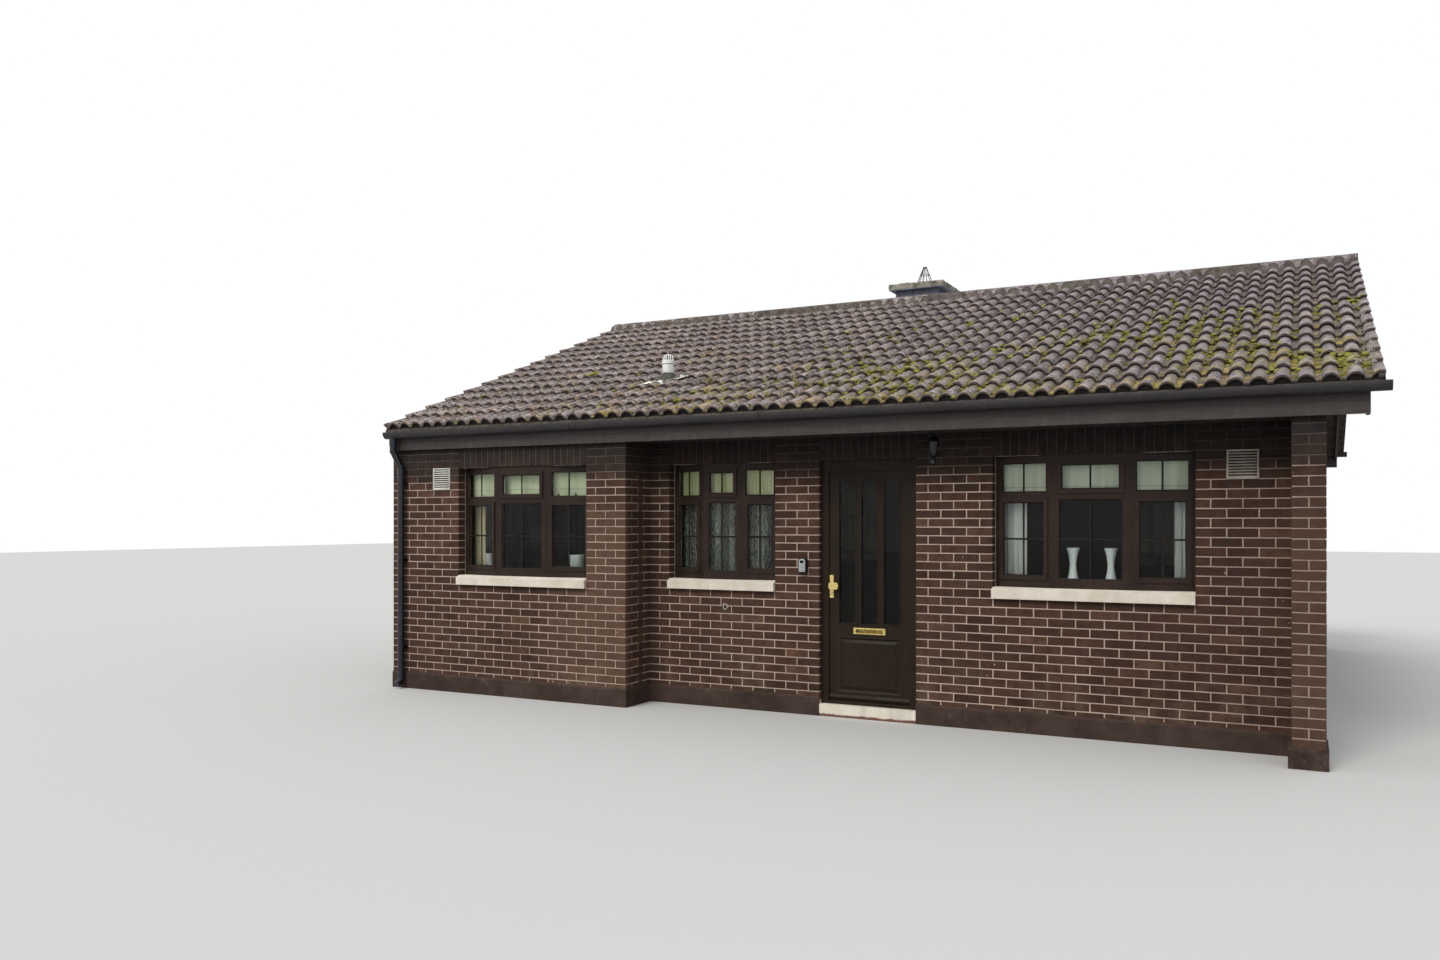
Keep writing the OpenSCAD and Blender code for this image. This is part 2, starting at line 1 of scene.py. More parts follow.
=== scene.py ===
"""Looks of a single-storey brown brick bungalow: brickwork, roof tiles, windows, door and weathering."""

import math

import bpy
import numpy as np
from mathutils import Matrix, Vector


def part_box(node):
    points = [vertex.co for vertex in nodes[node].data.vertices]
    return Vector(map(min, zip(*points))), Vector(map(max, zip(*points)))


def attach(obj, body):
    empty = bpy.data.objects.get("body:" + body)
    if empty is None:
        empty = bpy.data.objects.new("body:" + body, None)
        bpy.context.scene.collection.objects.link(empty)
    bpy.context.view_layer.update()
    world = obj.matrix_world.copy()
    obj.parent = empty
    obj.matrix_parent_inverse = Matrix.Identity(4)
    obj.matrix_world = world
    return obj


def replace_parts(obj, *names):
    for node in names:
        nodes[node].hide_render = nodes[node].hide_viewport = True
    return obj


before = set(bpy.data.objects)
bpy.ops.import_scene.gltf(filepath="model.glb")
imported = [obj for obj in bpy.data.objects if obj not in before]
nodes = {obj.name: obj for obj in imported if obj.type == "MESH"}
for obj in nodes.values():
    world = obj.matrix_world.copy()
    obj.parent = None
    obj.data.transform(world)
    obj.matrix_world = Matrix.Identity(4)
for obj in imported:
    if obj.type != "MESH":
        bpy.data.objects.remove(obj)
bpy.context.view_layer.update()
rng = np.random.default_rng(41)

# ---------------------------------------------------------------- measures, in millimetres of the front
# X runs right from the bay's corner, Y into the house from the door wall, Z up from the ground.
MID_X, RIDGE_Y = 1656.5, 3932.5
BRICK, COURSE, JOINT, FIRST_COURSE, LEAST_BRICK = 225.0, 75.0, 10.0, 215.0, 28
BAY_Y, REAR_Y = -450.0, 8315.0
LEFT_X, PIER_X, RIGHT_X, VERGE_X = -2925.0, 5625.0, 5840.0, 6200.0
WINDOW_L, WINDOW_M, WINDOW_R = (-2030.0, -445.0), (220.0, 1355.0), (3370.0, 4955.0)
DOORWAY = (1795.0, 2705.0)
SILL_UNDER, FRAME_Z, HEAD, TRANSOM = 1115.0, 1212.0, 2315.0, 1977.0
PITCH = math.radians(20.9)
EAVES_Y, EAVES_Z = -565.0, 2735.0
SLOPE = (RIDGE_Y - EAVES_Y) / math.cos(PITCH)
RIDGE_Z = EAVES_Z + (RIDGE_Y - EAVES_Y) * math.tan(PITCH) - 30  # the line round which the ridge tiles turn
ROLL, GAUGE = 9125.0 / 60, 337.0
LEAF, DOOR_Y = (1863.0, 2640.0), 67.0
STACK, STACK_TOP, CAP_TOP = (1103.75, 1656.25, 4220.0, 4885.0), 4712.4, 4778.4
# windows: set-back of the two ends, bow of the middle, members, sash rim, depth of the pane, share of a side
# light
WINDOW_BACK, WINDOW_BOW, MEMBER, EDGE, SASH_RIM, PANE_Y = 102.0, 88.0, 100.0, 52.0, 22.0, 10.0
LARGE, SMALL = 0.31, 0.325


# ---------------------------------------------------------------- meshes
def across(points, faces):
    """A mesh moved to the rear: mirrored across the ridge, with its faces turned round."""
    points = np.array(points, float).reshape(-1, 3)
    points[:, 1] = 2 * RIDGE_Y - points[:, 1]
    return points, flipped(faces)


def flipped(faces):
    """The same faces seen from the other side."""
    return [f[:, ::-1] for f in (faces if isinstance(faces, list) else [faces])]


def piece(name, points, faces, finish, slot, body="house", smooth=False, sharp=None, rear=False, **values):
    """One mesh piece from points in front millimetres and a list of face arrays, each with one row per face.
    In the frame a point is (x - mid, y - ridge, z) / 1000. Edges over the angle sharp, in degrees, stay
    sharp; values are numbers kept for each point, by name."""
    if rear:
        points, faces = across(points, faces)
    faces = [np.asarray(f, np.int32) for f in (faces if isinstance(faces, list) else [faces])]
    p = (np.asarray(points, float).reshape(-1, 3) - (MID_X, RIDGE_Y, 0.0)) / 1000.0
    mesh = bpy.data.meshes.new(name)
    mesh.vertices.add(len(p))
    mesh.vertices.foreach_set("co", p.astype(np.float32).ravel())
    sizes = np.concatenate([np.full(len(f), f.shape[1], np.int32) for f in faces])
    mesh.loops.add(int(sizes.sum()))
    mesh.loops.foreach_set("vertex_index", np.concatenate([f.ravel() for f in faces]))
    mesh.polygons.add(len(sizes))
    mesh.polygons.foreach_set("loop_start", np.concatenate([[0], np.cumsum(sizes)[:-1]]).astype(np.int32))
    mesh.polygons.foreach_set("loop_total", sizes)
    mesh.polygons.foreach_set("use_smooth", np.full(len(sizes), smooth or sharp is not None))
    for key, numbers in values.items():
        mesh.attributes.new(key, "FLOAT", "POINT").data.foreach_set("value", np.asarray(numbers, np.float32))
    mesh.update(calc_edges=True)
    mesh.materials.append(FINISHES[finish])
    if sharp is not None:
        mesh.set_sharp_from_angle(angle=math.radians(sharp))
    obj = bpy.data.objects.new(name, mesh)
    bpy.context.scene.collection.objects.link(obj)
    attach(obj, body)
    return obj


def grid_faces(rows, columns, closed=False):
    """Quads of a grid of rows by columns points, row after row; closed joins the last column to the
    first."""
    r, c = np.meshgrid(np.arange(rows - 1), np.arange(columns if closed else columns - 1), indexing="ij")
    a, b = r * columns + c, r * columns + (c + 1) % columns
    return np.stack([a, b, b + columns, a + columns], -1).reshape(-1, 4)


def repeated(faces, n, size):
    """The same faces for n copies of a form that has size points."""
    return [(f[None] + size * np.arange(n)[:, None, None]).reshape(-1, f.shape[1]) for f in faces]


def skin(rings, turned_round=False):
    """Rings of points, joined one to the next and closed at both ends."""
    rings = np.asarray(rings)
    n, m = rings.shape[:2]
    faces = [grid_faces(n, m, closed=True), np.arange(m)[None, ::-1], (m * (n - 1) + np.arange(m))[None]]
    return rings.reshape(-1, 3), flipped(faces) if turned_round else faces


def carried(x, ring, turned_round=False):
    """A profile carried along x: ring gives the y and z of its corners, each one number or one for every
    x."""
    return skin(np.stack([np.stack([x, 0 * x + y, 0 * x + z], -1) for y, z in ring], 1), turned_round)


def sheet_faces(k, m):
    """Faces of a sheet with a thickness, from k by m points on top and as many below: top, under side and
    rim."""
    grid, total = grid_faces(k, m), k * m
    rim = np.concatenate([np.arange(m), m * np.arange(1, k) + m - 1, (k - 1) * m + np.arange(m - 2, -1, -1),
                          m * np.arange(k - 2, 0, -1)])
    following = np.roll(rim, -1)
    return np.concatenate([grid[:, ::-1], grid + total,
                           np.stack([rim, following, following + total, rim + total], -1)])


def ring_faces(n):
    """Faces of n blocks whose twelve points are three rings of four: sides, shoulders, face and back."""
    i, j = np.arange(4), (np.arange(4) + 1) % 4
    one = [np.stack([i, j, j + 4, i + 4], -1), np.stack([i + 4, j + 4, j + 8, i + 8], -1)]
    return repeated([np.concatenate(one + [[[8, 9, 10, 11]], [[3, 2, 1, 0]]])], n, 12)[0]


def blocks(low, high, chamfer):
    """Boxes from their low and high corners, cut back along X and Z by the chamfer at the front (low Y)
    face: twelve points in three rings, back, shoulder and face."""
    low, high = np.atleast_2d(np.asarray(low, float)), np.atleast_2d(np.asarray(high, float))
    rings = []
    for y, inset in ((high[:, 1], 0.0), (low[:, 1] + chamfer, 0.0), (low[:, 1], chamfer)):
        x = np.where([0, 1, 1, 0], high[:, :1] - inset, low[:, :1] + inset)
        z = np.where([0, 0, 1, 1], high[:, 2:] - inset, low[:, 2:] + inset)
        rings.append(np.stack([x, np.repeat(y[:, None], 4, 1), z], -1))
    return np.stack(rings, 1).reshape(-1, 3), ring_faces(len(low))


def circle(n):
    """The angles of n points evenly round a circle."""
    return 2 * math.pi * np.arange(n) / n


def turned(centre, profile, angles):
    """Rings of a profile of (radius, height) rows, at the given angles round the upright line through
    centre."""
    r, z = np.asarray(profile, float).T
    x, y = centre[0] + r[:, None] * np.cos(angles), centre[1] + r[:, None] * np.sin(angles)
    return np.stack([x, y, np.repeat(centre[2] + z[:, None], len(angles), 1)], -1)


def revolve(centre, profile, sides):
    """A profile turned fully round; its rows run upwards on the outside, and rows of radius nought close
    it."""
    return (turned(centre, profile, circle(sides)).reshape(-1, 3),
            grid_faces(len(profile), sides, closed=True))


def half_turned(profile, centre, sides=13):
    """A profile turned half round, out from the wall, and closed by the wall's plane."""
    return skin(turned(centre, profile, math.pi + math.pi * np.arange(sides) / (sides - 1)))


def tube(path, radius, sides):
    """A round tube along a path of points, with flat ends: each ring lies square to the path's direction
    there."""
    p = np.asarray(path, float)
    along = np.gradient(p, axis=0)
    along /= np.linalg.norm(along, axis=1)[:, None]
    side = np.cross(along, (0.31, 0.17, 0.93))
    side /= np.linalg.norm(side, axis=1)[:, None]
    up, a = np.cross(side, along), circle(sides)
    ring = np.cos(a)[None, :, None] * side[:, None] + np.sin(a)[None, :, None] * up[:, None]
    return skin(p[:, None] + radius * ring, turned_round=True)


def joined(parts):
    """Several (points, faces) pairs as one, with the face numbers moved on."""
    points, faces, at = [], {}, 0
    for p, f in parts:
        for g in f if isinstance(f, list) else [f]:
            faces.setdefault(np.shape(g)[1], []).append(np.asarray(g) + at)
        points.append(p)
        at += len(p)
    return np.concatenate(points), [np.concatenate(g) for g in faces.values()]


# ---------------------------------------------------------------- finishes
FINISHES = {}


def linear(colour):
    """A colour of 0 to 255 as the shader's linear values; what isn't a colour is left as it is."""
    if not isinstance(colour, tuple):
        return colour
    c = np.array(colour) / 255.0
    return (*np.where(c <= 0.04045, c / 12.92, ((c + 0.055) / 1.055) ** 2.4).tolist(), 1.0)


def scaled(colour, k):
    """A lighter or darker colour."""
    return tuple(k * c for c in colour)


def put(tree, kind, feeds=None, **settings):
    """A new node with its settings; feeds gives its inputs, by name or number, a value or another node's
    output."""
    node = tree.nodes.new("ShaderNode" + kind)
    for key, value in settings.items():
        setattr(node, key, value)
    for key, value in (feeds or {}).items():
        if isinstance(value, (int, float, tuple)):
            node.inputs[key].default_value = value
        else:
            tree.links.new(value, node.inputs[key])
    return node


class Finish:
    """A material being built: one Principled shader, short calls for the nodes that feed it, and its colour
    so far."""

    def __init__(self, name, rough, specular=0.5, **more):
        FINISHES[name] = bpy.data.materials.new(name)
        FINISHES[name].use_nodes = True
        self.tree = FINISHES[name].node_tree
        self.tree.nodes.clear()
        self.shader = put(self.tree, "BsdfPrincipled", {
            "Roughness": rough, "Specular IOR Level": specular,
            **{k.replace("_", " "): v for k, v in more.items()}})
        put(self.tree, "OutputMaterial", {"Surface": self.shader.outputs[0]})
        self.place = put(self.tree, "TexCoord").outputs["Object"]
        self.colour = None

    def mapped(self, scale=(1, 1, 1), shift=(0, 0, 0)):
        feeds = {"Vector": self.place, "Scale": scale, "Location": shift}
        return put(self.tree, "Mapping", feeds).outputs[0]

    def noise(self, scale, detail=4.0, roughness=0.55, vector=None, distortion=0.0):
        return put(self.tree, "TexNoise", {
            "Vector": vector or self.place, "Scale": scale, "Detail": detail, "Roughness": roughness,
            "Distortion": distortion}).outputs["Fac"]

    def cells(self, scale):
        return put(self.tree, "TexVoronoi", {"Vector": self.place, "Scale": scale}).outputs["Distance"]

    def attribute(self, name="tone"):
        return put(self.tree, "Attribute", attribute_name=name).outputs["Fac"]

    def axis(self, which):
        return put(self.tree, "SeparateXYZ", {0: self.place}).outputs[which]

    def maths(self, operation, a, b=None):
        return put(self.tree, "Math", {0: a} if b is None else {0: a, 1: b}, operation=operation).outputs[0]

    def times(self, a, b):
        return self.maths("MULTIPLY", a, b)

    def plus(self, a, b):
        return self.maths("ADD", a, b)

    def span(self, value, low, high, to_low=0.0, to_high=1.0):
        return put(self.tree, "MapRange", {"Value": value, "From Min": low, "From Max": high,
                   "To Min": to_low, "To Max": to_high}, interpolation_type="SMOOTHSTEP").outputs[0]

    def along(self, which, *ends):
        """A mask that rises along an axis of the frame, as span says."""
        return self.span(self.axis(which), *ends)

    def patches(self, scale, detail, roughness, *ends):
        """A mask of clouds, as noise and span say."""
        return self.span(self.noise(scale, detail, roughness), *ends)

    def ramp(self, value, *stops):
        node = put(self.tree, "ValToRGB", {0: value})
        node.color_ramp.elements.remove(node.color_ramp.elements[0])
        for k, (at, colour) in enumerate(stops):
            element = node.color_ramp.elements[0] if k == 0 else node.color_ramp.elements.new(at)
            element.position, element.color = at, linear(colour)
        return node.outputs["Color"]

    def mix(self, value, a, b):
        return put(self.tree, "Mix", {0: value, 6: linear(a), 7: linear(b)}, data_type="RGBA").outputs[2]

    def tint(self, mask, colour, share=None):
        """Lays a colour over what is there, where the mask says, by no more than the share."""
        self.colour = self.mix(mask if share is None else self.times(mask, share), self.colour, colour)

    def weather(self, streak=6.0, blotch=1.4, level=0.5):
        """Streaks, blotches and specks of the shared group."""
        return put(self.tree, "Group", {"Place": self.place, "Streak Scale": streak, "Blotch Scale": blotch,
                                                  "Level": level}, node_tree=weathering).outputs[:3]

    def done(self, height=None, strength=0.5, distance=0.002, rough=None):
        """Ends the material: its colour and, where given, its roughness and a bump."""
        self.tree.links.new(self.colour, self.shader.inputs["Base Color"])
        if rough is not None:
            self.tree.links.new(rough, self.shader.inputs["Roughness"])
        if height is not None:
            bump = put(self.tree, "Bump", {"Strength": strength, "Distance": distance, "Height": height})
            self.tree.links.new(bump.outputs[0], self.shader.inputs["Normal"])


def make_weathering():
    """Node group of rain streaks, blotches and specks: noise drawn out along Z for the streaks, plain noise
    for the blotches and a fine one for the specks, each as a mask from nought to one."""
    tree = bpy.data.node_groups.new("weathering", "ShaderNodeTree")
    tree.interface.new_socket("Place", in_out="INPUT", socket_type="NodeSocketVector")
    for key, value in (("Streak Scale", 6.0), ("Blotch Scale", 1.4), ("Level", 0.5)):
        tree.interface.new_socket(key, in_out="INPUT", socket_type="NodeSocketFloat").default_value = value
    for key in ("Streaks", "Blotches", "Specks"):
        tree.interface.new_socket(key, in_out="OUTPUT", socket_type="NodeSocketFloat")
    given, end = tree.nodes.new("NodeGroupInput").outputs, tree.nodes.new("NodeGroupOutput")
    drawn = put(tree, "VectorMath", {0: given["Place"], 1: (1.0, 1.0, 0.12)},
                operation="MULTIPLY").outputs[0]
    for output, vector, key, detail, low, high in (
            ("Streaks", drawn, "Streak Scale", 5.0, -0.07, 0.16),
            ("Blotches", given["Place"], "Blotch Scale", 6.0, -0.10, 0.18)):
        noise = put(tree, "TexNoise", {"Vector": vector, "Scale": given[key], "Detail": detail,
                                                 "Roughness": 0.62})
        under = put(tree, "Math", {0: noise.outputs["Fac"], 1: given["Level"]}, operation="SUBTRACT")
        wide = put(tree, "MapRange", {"Value": under.outputs[0], "From Min": low, "From Max": high},
                   interpolation_type="SMOOTHSTEP")
        tree.links.new(wide.outputs[0], end.inputs[output])
    fine = put(tree, "TexNoise", {"Vector": given["Place"], "Scale": 85.0, "Detail": 3.0})
    few = put(tree, "MapRange", {"Value": fine.outputs["Fac"], "From Min": 0.64, "From Max": 0.74})
    tree.links.new(few.outputs[0], end.inputs["Specks"])
    return tree


weathering = make_weathering()


def brick_finish(name, lift=1.0, smoke=0.0):
    """Fired brick: a tone for each brick, cloudy firing marks, dragged texture, fine pits, a paler bloom low
    on the wall, painted shade on the courses under the eaves and towards the pier, painted light low on the
    right of the bay front and, on the chimney, soot with painted shade and a painted blue-grey sky tint."""
    f = Finish(name, 0.88, 0.3)
    f.colour = f.ramp(f.attribute(), *((at, scaled(tone, lift)) for at, tone in (
        (0.0, (58, 39, 30)), (0.22, (71, 49, 38)), (0.5, (81, 57, 45)), (0.78, (91, 64, 51)),
        (1.0, (108, 78, 62)))))
    cloud = f.patches(11.0, 5.0, 0.6, 0.32, 0.72)
    fine = f.noise(160.0, 3.0, 0.6)
    drag = f.noise(60.0, 4.0, 0.65, f.mapped((1.0, 1.0, 0.22)))
    f.tint(cloud, scaled((57, 39, 30), lift), 0.50)
    f.tint(f.span(drag, 0.50, 0.72, 0.0, 0.30), scaled((44, 33, 28), lift))
    f.tint(f.span(fine, 0.60, 0.75, 0.0, 0.35), scaled((124, 102, 90), lift))
    streaks, blotches, specks = f.weather(5.0, 1.1, 0.56)
    f.tint(streaks, (38, 30, 26), 0.25)
    f.tint(blotches, (112, 94, 80), 0.12)
    f.tint(specks, (150, 134, 120), 0.28)
    f.tint(f.times(f.span(f.cells(9.0), 0.085, 0.06), f.patches(1.3, 3.0, 0.5, 0.56, 0.60)), (196, 184, 170),
           0.8)
    # painted light: the lower part of the bay front towards its right end is made paler, as if more brightly
    # lit
    bay = f.times(f.along(0, -2.9, -2.0), f.along(1, -4.30, -4.36))
    f.tint(f.times(bay, f.along(2, 2.2, 1.6)), (136, 108, 88), 0.30)
    # painted shade: the door wall grows darker towards the pier's inside corner
    f.tint(f.along(0, 0.6, 3.6, 0.06, 0.32), (50, 30, 22))
    pale = f.patches(3.2, 6.0, 0.65, 0.50, 0.68)
    f.tint(f.times(f.along(2, 0.75, 0.15), pale), (140, 122, 102), 0.26)
    # painted shade: the courses just under the eaves and the soldier courses are darkened as if in the
    # soffit's shade
    high = f.plus(f.along(2, 2.12, 2.27, 0.0, 0.66), f.along(2, 2.32, 2.46, 0.0, 0.24))
    f.tint(f.times(high, f.along(2, 2.9, 2.7)), (30, 29, 29))
    # on the chimney: soot, with painted shade and a painted blue-grey sky tint
    if smoke:
        f.tint(f.span(cloud, 0.0, 1.0, smoke, 0.7 * smoke), (112, 118, 136))
    f.done(f.plus(fine, f.times(drag, 0.8)), 0.45, 0.002, f.span(cloud, 0.0, 1.0, 0.80, 0.95))


def mortar_finish(name, inside=None):
    """Pale pinkish mortar with darker damp patches; past the inner leaf, between the two depths given in
    inside, the same node shows painted plaster, given a dark colour as painted shade for the rooms, and on
    its end faces, level with the party walls, their blockwork."""
    f = Finish(name, 0.95, 0.2)
    sand = f.noise(220.0, 3.0, 0.7)
    f.colour = f.ramp(sand, (0.3, (190, 168, 152)), (0.55, (214, 192, 176)), (0.75, (230, 210, 194)))
    f.tint(f.patches(2.6, 6.0, 0.6, 0.38, 0.70), (150, 128, 112), 0.30)
    f.tint(f.weather(4.0, level=0.56)[0], (98, 82, 72), 0.25)
    # painted shade: the mortar grows darker towards the pier's inside corner
    f.tint(f.along(0, 2.0, 4.1, 0.0, 0.36), (84, 64, 58))
    # painted shade: the mortar just under the eaves is darkened as if in the soffit's shade
    f.tint(f.times(f.along(2, 2.10, 2.28), f.along(2, 2.9, 2.7)), (54, 48, 45), 0.88)
    if inside:
        # painted shade: the inner plaster is given a dark colour so the rooms look dim
        f.tint(f.along(1, *inside), (96, 90, 80))
    block = f.mix(f.patches(2.8, 7.0, 0.62, 0.34, 0.66), (104, 100, 95), (128, 124, 118))
    f.tint(f.span(f.maths("ABSOLUTE", f.plus(f.axis(0), 0.1994)), 4.3800, 4.3812), block)
    f.done(sand)


def stone_finish(name, base, dark, pale, scale=1.0, green=0.0, rough=0.9, bump=0.4, streak=0.30, foot=0.0,
                 under=None):
    """Cast or rendered stone: sandy grain, cloudy patches, pale bloom, dark streaks and, where asked, green
    growth; up to the height of foot its paint has flaked off to red-brown stone, and below the height given
    in under it has the colour given there, which on the chimney's cap is a painted pale sky reflection."""
    f = Finish(name, rough, 0.25)
    grain = f.noise(140.0 * scale, 4.0, 0.65)
    cloud = f.patches(4.0 * scale, 7.0, 0.62, 0.34, 0.66)
    f.colour = f.mix(cloud, dark, base)
    f.tint(f.patches(9.0 * scale, 6.0, 0.7, 0.58, 0.76, 0.0, 0.75), pale)
    streaks, blotches, specks = f.weather(9.0, 3.0, 0.55)
    f.tint(streaks, scaled(dark, 0.62), streak)
    f.tint(specks, pale, 0.35)
    if foot:
        edge = f.maths("SUBTRACT", f.axis(2), f.times(f.noise(7.0, 6.0, 0.7), 0.5 * foot))
        f.tint(f.span(edge, 0.12 * foot, -0.06 * foot), (124, 84, 70))
    if green:
        f.tint(blotches, (104, 106, 62), green)
    # painted reflection: below this height the stone takes a pale sky-blue colour, as if lit by the sky
    if under:
        f.tint(f.along(2, under[0] + 0.006, under[0] + 0.003), under[1])
    f.done(f.plus(grain, f.times(cloud, 0.6)), bump, 0.003)


def tile_finish(name, bloom=0.0):
    """Concrete tile weathered to pinkish grey: a tone for each tile, coarse grit, grey lichen rounds, a dark
    band of painted shade, with some dirt, under each nose, brown dirt with painted shade in the pans, and
    yellow-green growth towards the eaves and the open verge."""
    f = Finish(name, 0.95, 0.15)
    f.colour = f.ramp(f.attribute(), (0.0, (126, 116, 116)), (0.25, (147, 136, 136)), (0.5, (163, 151, 151)),
                      (0.75, (175, 161, 160)), (1.0, (190, 172, 164)))
    coarse = f.noise(22.0, 5.0, 0.74)
    f.tint(f.patches(7.0, 7.0, 0.66, 0.36, 0.66), (106, 97, 90), 0.50)
    f.tint(f.times(f.patches(3.7, 5.0, 0.65, 0.46, 0.64), f.along(0, 1.5, -2.5, 0.2, 0.72)),
           (150, 122, 98))
    few = f.patches(2.2, 4.0, 0.6, 0.47 - 0.25 * bloom, 0.60 - 0.2 * bloom)
    f.tint(f.times(f.span(f.cells(15.0), 0.27, 0.17), few), (208, 202, 194), 0.60 + 0.3 * bloom)
    f.tint(f.span(coarse, 0.52, 0.57, 0.0, 0.70), (208, 199, 195))
    f.tint(f.span(f.noise(20.0, 5.0, 0.74, f.mapped(shift=(3.0, 1.0, 2.0))), 0.485, 0.425, 0.0, 0.90),
           (70, 62, 60))
    crust = f.times(f.along(0, 4.24, 4.40), f.patches(9.0, 6.0, 0.7, 0.47, 0.60))
    f.tint(crust, (196, 188, 180), f.along(2, 4.3, 3.3, 0.25, 1.0))
    f.tint(f.along(0, -1.5, 2.5, 0.0, 0.30), (146, 139, 152))
    # the pans' darkening is brown dirt together with painted shade
    pan = f.attribute("pan")
    pan_dirt_and_shade = f.mix(f.patches(12.0, 5.0, 0.6, 0.40, 0.62), (76, 67, 62), (118, 104, 90))
    f.tint(f.times(pan, f.patches(26.0, 6.0, 0.72, 0.22, 0.52, 0.40, 1.0)), pan_dirt_and_shade, 0.74)
    spread = f.times(f.along(2, 4.7, 3.2), f.along(0, -4.4, 0.0, 0.30, 1.0))
    spread = f.plus(spread, f.along(2, 3.3, 2.7, 0.0, 0.48))
    patchy = f.plus(f.times(f.noise(2.1, 5.0, 0.65), 0.5), f.times(spread, 0.10))
    tufts = f.plus(f.noise(17.0, 7.0, 0.76, f.mapped(shift=(1.0, 5.0, 0.0))), f.times(pan, 0.04))
    green = f.ramp(f.noise(13.0, 4.0, 0.7, f.mapped(shift=(7.0, 0.0, 3.0))), (0.36, (96, 92, 46)),
                   (0.44, (150, 138, 62)), (0.50, (186, 172, 74)), (0.56, (178, 146, 88)),
                   (0.64, (196, 182, 138)))
    f.tint(f.span(f.plus(patchy, tufts), 0.938, 0.955), green, 0.85)
    # painted shade: the nose faces and the hidden heads are darkened as the shadow under each course, with
    # some dirt
    f.tint(f.times(f.attribute("nose"), f.patches(60.0, 3.0, 0.6, 0.25, 0.55, 0.70, 1.0)), (92, 82, 78))
    f.done(f.plus(f.times(f.noise(240.0, 2.0, 0.7), 0.5), coarse), 0.8, 0.006)


def moss_finish():
    """Cushion moss: yellow-green tops, olive and brown sides, with a fine velvety bump."""
    f = Finish("moss", 1.0, 0.05)
    f.colour = f.ramp(f.attribute(), (0.0, (98, 86, 58)), (0.25, (122, 112, 66)), (0.55, (148, 143, 74)),
                      (0.85, (176, 174, 84)), (1.0, (204, 203, 100)))
    fuzz = f.noise(380.0, 3.0, 0.7)
    f.tint(f.span(fuzz, 0.35, 0.65, 0.45, 0.0), (78, 72, 38))
    f.done(fuzz, 0.9, 0.004)


def board_finish(name, base, dark, pale, rough=0.55):
    """Dark board with long faint grain along X, chalky weathering and thin rain marks."""
    f = Finish(name, rough, 0.4)
    long_grain = f.noise(26.0, 5.0, 0.6, f.mapped((0.12, 3.0, 3.0)))
    f.colour = f.mix(f.span(long_grain, 0.30, 0.70), dark, base)
    streaks, blotches, specks = f.weather(14.0, 1.6, 0.54)
    f.tint(streaks, pale, 0.35)
    f.tint(blotches, scaled(dark, 0.7), 0.25)
    f.tint(specks, pale, 0.25)
    f.done(long_grain, 0.15, 0.001, f.span(streaks, 0.0, 1.0, rough, rough + 0.25))


def joinery_finish(name, base, dark, pale, rough):
    """Dark stained joinery: fine wood grain upwards, slight fading and a soft satin coat."""
    f = Finish(name, rough, 0.18)
    grain = f.noise(34.0, 6.0, 0.65, f.mapped((3.0, 3.0, 0.25)), 0.4)
    f.colour = f.mix(f.span(grain, 0.30, 0.72), dark, base)
    cloud = f.patches(3.5, 5.0, 0.6, 0.42, 0.70)
    f.tint(cloud, pale, 0.35)
    f.tint(f.weather()[2], (110, 100, 92), 0.18)
    f.done(grain, 0.18, 0.001, f.span(cloud, 0.0, 1.0, rough, rough + 0.18))


def plastic_finish(name, base, pale, rough):
    """Moulded goods: smooth, dulled in patches and streaked with dust."""
    f = Finish(name, rough, 0.45)
    streaks, blotches, specks = f.weather(12.0, 4.0, 0.52)
    f.colour = f.mix(f.times(blotches, 0.45), base, pale)
    f.tint(streaks, pale, 0.30)
    f.tint(specks, scaled(pale, 1.5), 0.30)
    f.done(f.noise(30.0, 3.0), 0.08, 0.001, f.span(blotches, 0.0, 1.0, rough, rough + 0.3))


def glass_finish():
    """Clear pane with a hardly visible film of dust on it."""
    f = Finish("window_glass", 0.01, 0.3, Transmission_Weight=1.0, IOR=1.2)
    dust = f.noise(5.0, 5.0, 0.6)
    f.colour = f.ramp(dust, (0.3, (250, 252, 250)), (0.7, (238, 242, 240)))
    f.done(rough=f.span(dust, 0.35, 0.75, 0.0, 0.03))


def metal_finish(name, base, dark, rough, metallic):
    """Worn metal: tarnished patches, fine scratches."""
    f = Finish(name, rough, Metallic=metallic)
    worn = f.patches(60.0, 5.0, 0.6, 0.35, 0.7)
    f.colour = f.mix(worn, dark, base)
    f.done(f.noise(180.0, 3.0), 0.12, 0.0006, f.span(worn, 0.0, 1.0, rough + 0.2, rough))


def cloth_finish(name, base, shade, lace=0.0, line=None):
    """Window cloth: fine threads, soft upright folds painted as darker bands of shade and, for lace, holes
    between the threads; a blind may have a thin sewn line across it at the height of line, and above that
    line it grows darker towards the top."""
    f = Finish(name, 0.95, 0.1)
    # painted shade: darker upright bands for the shade in the folds
    f.colour = f.mix(f.span(f.noise(9.0, 3.0, 0.5, f.mapped((1.0, 1.0, 0.06))), 0.35, 0.65), shade, base)
    if line:
        off = f.maths("ABSOLUTE", f.maths("SUBTRACT", f.axis(2), line))
        f.tint(f.span(off, 0.0015, 0.005, 0.45, 0.0), scaled(shade, 0.6))
        f.tint(f.along(2, line - 0.02, line + 0.2, 0.0, 0.35), shade)
    if lace:
        holes = f.noise(95.0, 5.0, 0.68, f.mapped((1.0, 1.0, 0.22)))
        f.tree.links.new(f.span(holes, 0.62, 0.42, 1.0, 1.0 - lace), f.shader.inputs["Alpha"])
    f.done(f.noise(300.0, 2.0, 0.5), 0.2, 0.0008)


